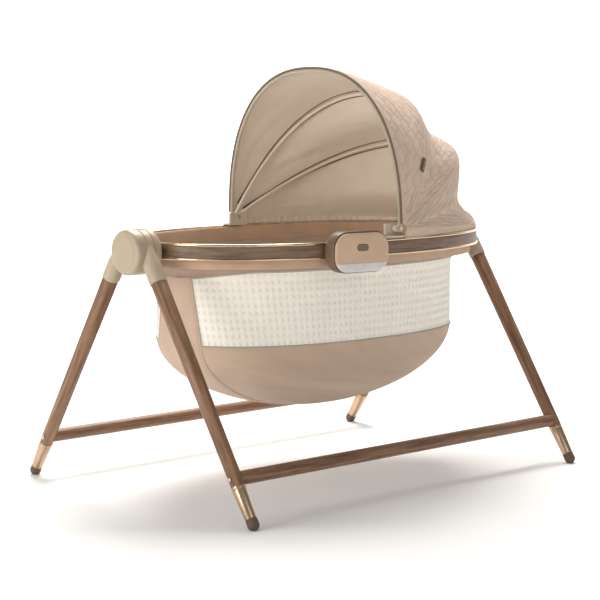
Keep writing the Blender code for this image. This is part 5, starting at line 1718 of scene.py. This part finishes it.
# %% Face and light strip
lid_outline = round_corners(case_half - LID_MARGIN, case_bottom + LID_MARGIN / 2, case_top - LID_MARGIN,
                            CASE_CORNER - LID_MARGIN, 18, 2.1)
crown = [(-LID_DEPTH, 0.0004), (-LID_DEPTH + 0.0004, 0.0), (-0.0034, 0.0), (-0.0021, 0.0006),
         (-0.0013, 0.0018), (-0.0008, 0.0040), (-0.0005, 0.0080), (-0.0003, 0.0130), (-0.0002, 0.0200)]


def lid_half(name, keep_above, finish_used, gap=0.0002):
    """The lid cut at the split line, keeping the part above or below it."""
    made = plate(name, lid_outline, crown, on_unit, finish_used, sharp=50)
    bm = bmesh.new()
    bm.from_mesh(made.data)
    height = face_split + (gap if keep_above else -gap)
    cut = bmesh.ops.bisect_plane(bm, geom=bm.verts[:] + bm.edges[:] + bm.faces[:], plane_co=(0, 0, height),
                                 plane_no=(0, 0, 1), clear_inner=keep_above, clear_outer=not keep_above)
    edges = [item for item in cut["geom_cut"] if isinstance(item, bmesh.types.BMEdge)]
    bmesh.ops.contextual_create(bm, geom=edges)
    bm.to_mesh(made.data)
    bm.free()
    return tidy(made, 50)


face = lid_half("control_front", True, BEIGE_PLASTIC)
strip = lid_half("light_strip", False, DIFFUSER)
print("the lid is split", round((face_split - case_bottom) * 1000), "mm above the case's bottom")

# %% Button and sensor
BUTTON_HALF_LENGTH, BUTTON_TALL = 0.015, 0.0145
button_height = float(button_middle[2])
button_outline = round_corners(BUTTON_HALF_LENGTH, button_height - BUTTON_TALL / 2,
                               button_height + BUTTON_TALL / 2, 0.0070, 8, 2.0)
opening = plate("button opening", button_outline, [(-0.02, -0.0005), (0.01, -0.0005)], on_unit, BEIGE_PLASTIC)
cut = face.modifiers.new("button opening", "BOOLEAN")
cut.operation, cut.solver, cut.object = "DIFFERENCE", "EXACT", opening
applied(face, 40)
bpy.data.objects.remove(opening)
button_levels = [(-0.0060, 0.0), (-0.0008, 0.0), (0.0002, 0.0005), (0.0004, 0.0014), (0.0001, 0.0040)]
button = plate("pill_button", button_outline, button_levels, on_unit, DARK_PLASTIC)
sensor_place = on_unit(np.array([[0.012, -0.0006, face_split - 0.0085]]))[0]
sensor_points, sensor_faces, _ = lathe([(-0.0004, 0), (-0.0004, 0.0010), (0.0001, 0.0010), (0.0002, 0)],
                                       sensor_place, outwards, 20)
sensor = make("light_sensor", sensor_points, sensor_faces, CASE_PLASTIC)
for piece, node, slot in ((face, "control_face", "beige_plastic"), (strip, "light_diffuser", "diffuser"),
                          (button, "control_button", "dark_plastic")):
    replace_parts(piece, node)
ride_all("basket", case, face, strip, sensor)
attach(button, "control_button")
print("the button is", round(2000 * BUTTON_HALF_LENGTH), "x", round(1000 * BUTTON_TALL, 1), "mm")

# %% [markdown]
# ## Studio floor and wall
# A wide white floor and a white wall behind stand in for the curved paper of a studio. The paper glows more
# the further it is from the object, so it stays white to its edges while the object still casts a shadow.
# Both belong to the studio, so they are marked as stage and don't count as part of the object.


# %% Stage
GLOW_STARTS, GLOW_FULL = 0.9, 3.6
FLOOR_NEAR, FLOOR_FAR, BEND_RADIUS, WALL_TOP, HALF_WIDE = 9.0, 7.0, 3.0, 9.0, 12.0
BELOW_FEET = 0.0004


def paper(name, white):
    """White paper that reflects this share of the light and glows far from the object."""
    made, tree, shader = finish(name, Roughness=0.9)
    place = pattern_place(tree)
    fibre = noise(tree, place, 60.0, 2.0)
    paint(tree, shader, shades(tree, fibre, (0.3, (white * 0.992,) * 3), (0.7, (white,) * 3)))
    away = add(tree, "ShaderNodeVectorMath", {0: place}, operation="LENGTH").outputs["Value"]
    glow = add(tree, "ShaderNodeMapRange",
               {"Value": away, "From Min": GLOW_STARTS, "From Max": GLOW_FULL, "To Min": 0.03, "To Max": 1.0},
               interpolation_type="SMOOTHSTEP")
    shader.inputs["Emission Color"].default_value = (1.0, 1.0, 1.0, 1.0)
    tree.links.new(glow.outputs["Result"], shader.inputs["Emission Strength"])
    return made


def sweep(name, finish_used):
    """A sheet of paper that lies on the floor, bends up in a wide curve and hangs as the wall."""
    away = unit(np.array((-back.x, -back.y, 0.0)))
    across = np.array((-away[1], away[0], 0.0))
    profile = [(-FLOOR_NEAR, 0.0), (FLOOR_FAR, 0.0)]
    profile += [(FLOOR_FAR + BEND_RADIUS * math.sin(t), BEND_RADIUS - BEND_RADIUS * math.cos(t))
                for t in np.linspace(0.1, math.pi / 2, 14)]
    profile += [(FLOOR_FAR + BEND_RADIUS, WALL_TOP)]
    grid = np.array([[away * out + across * side * HALF_WIDE + np.array((0, 0, height - BELOW_FEET))
                      for side in (-1, 0, 1)] for out, height in profile])
    mesh = bpy.data.meshes.new(name)
    faces = [list(map(int, face)) for face in grid_faces(len(profile), 3)]
    mesh.from_pydata(grid.reshape(-1, 3).tolist(), [], faces)
    mesh.shade_smooth()
    mesh.materials.append(finish_used)
    made = bpy.data.objects.new(name, mesh)
    bpy.context.scene.collection.objects.link(made)
    made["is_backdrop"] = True


sweep("paper_sweep", paper("white paper", 0.86))
print("the paper runs", FLOOR_NEAR + FLOOR_FAR, "m along the floor before it bends up")

# %% Finish
visual_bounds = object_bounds()
for corner in visual_bounds:
    print("a corner of the finished object's box:", [round(float(value), 4) for value in corner])
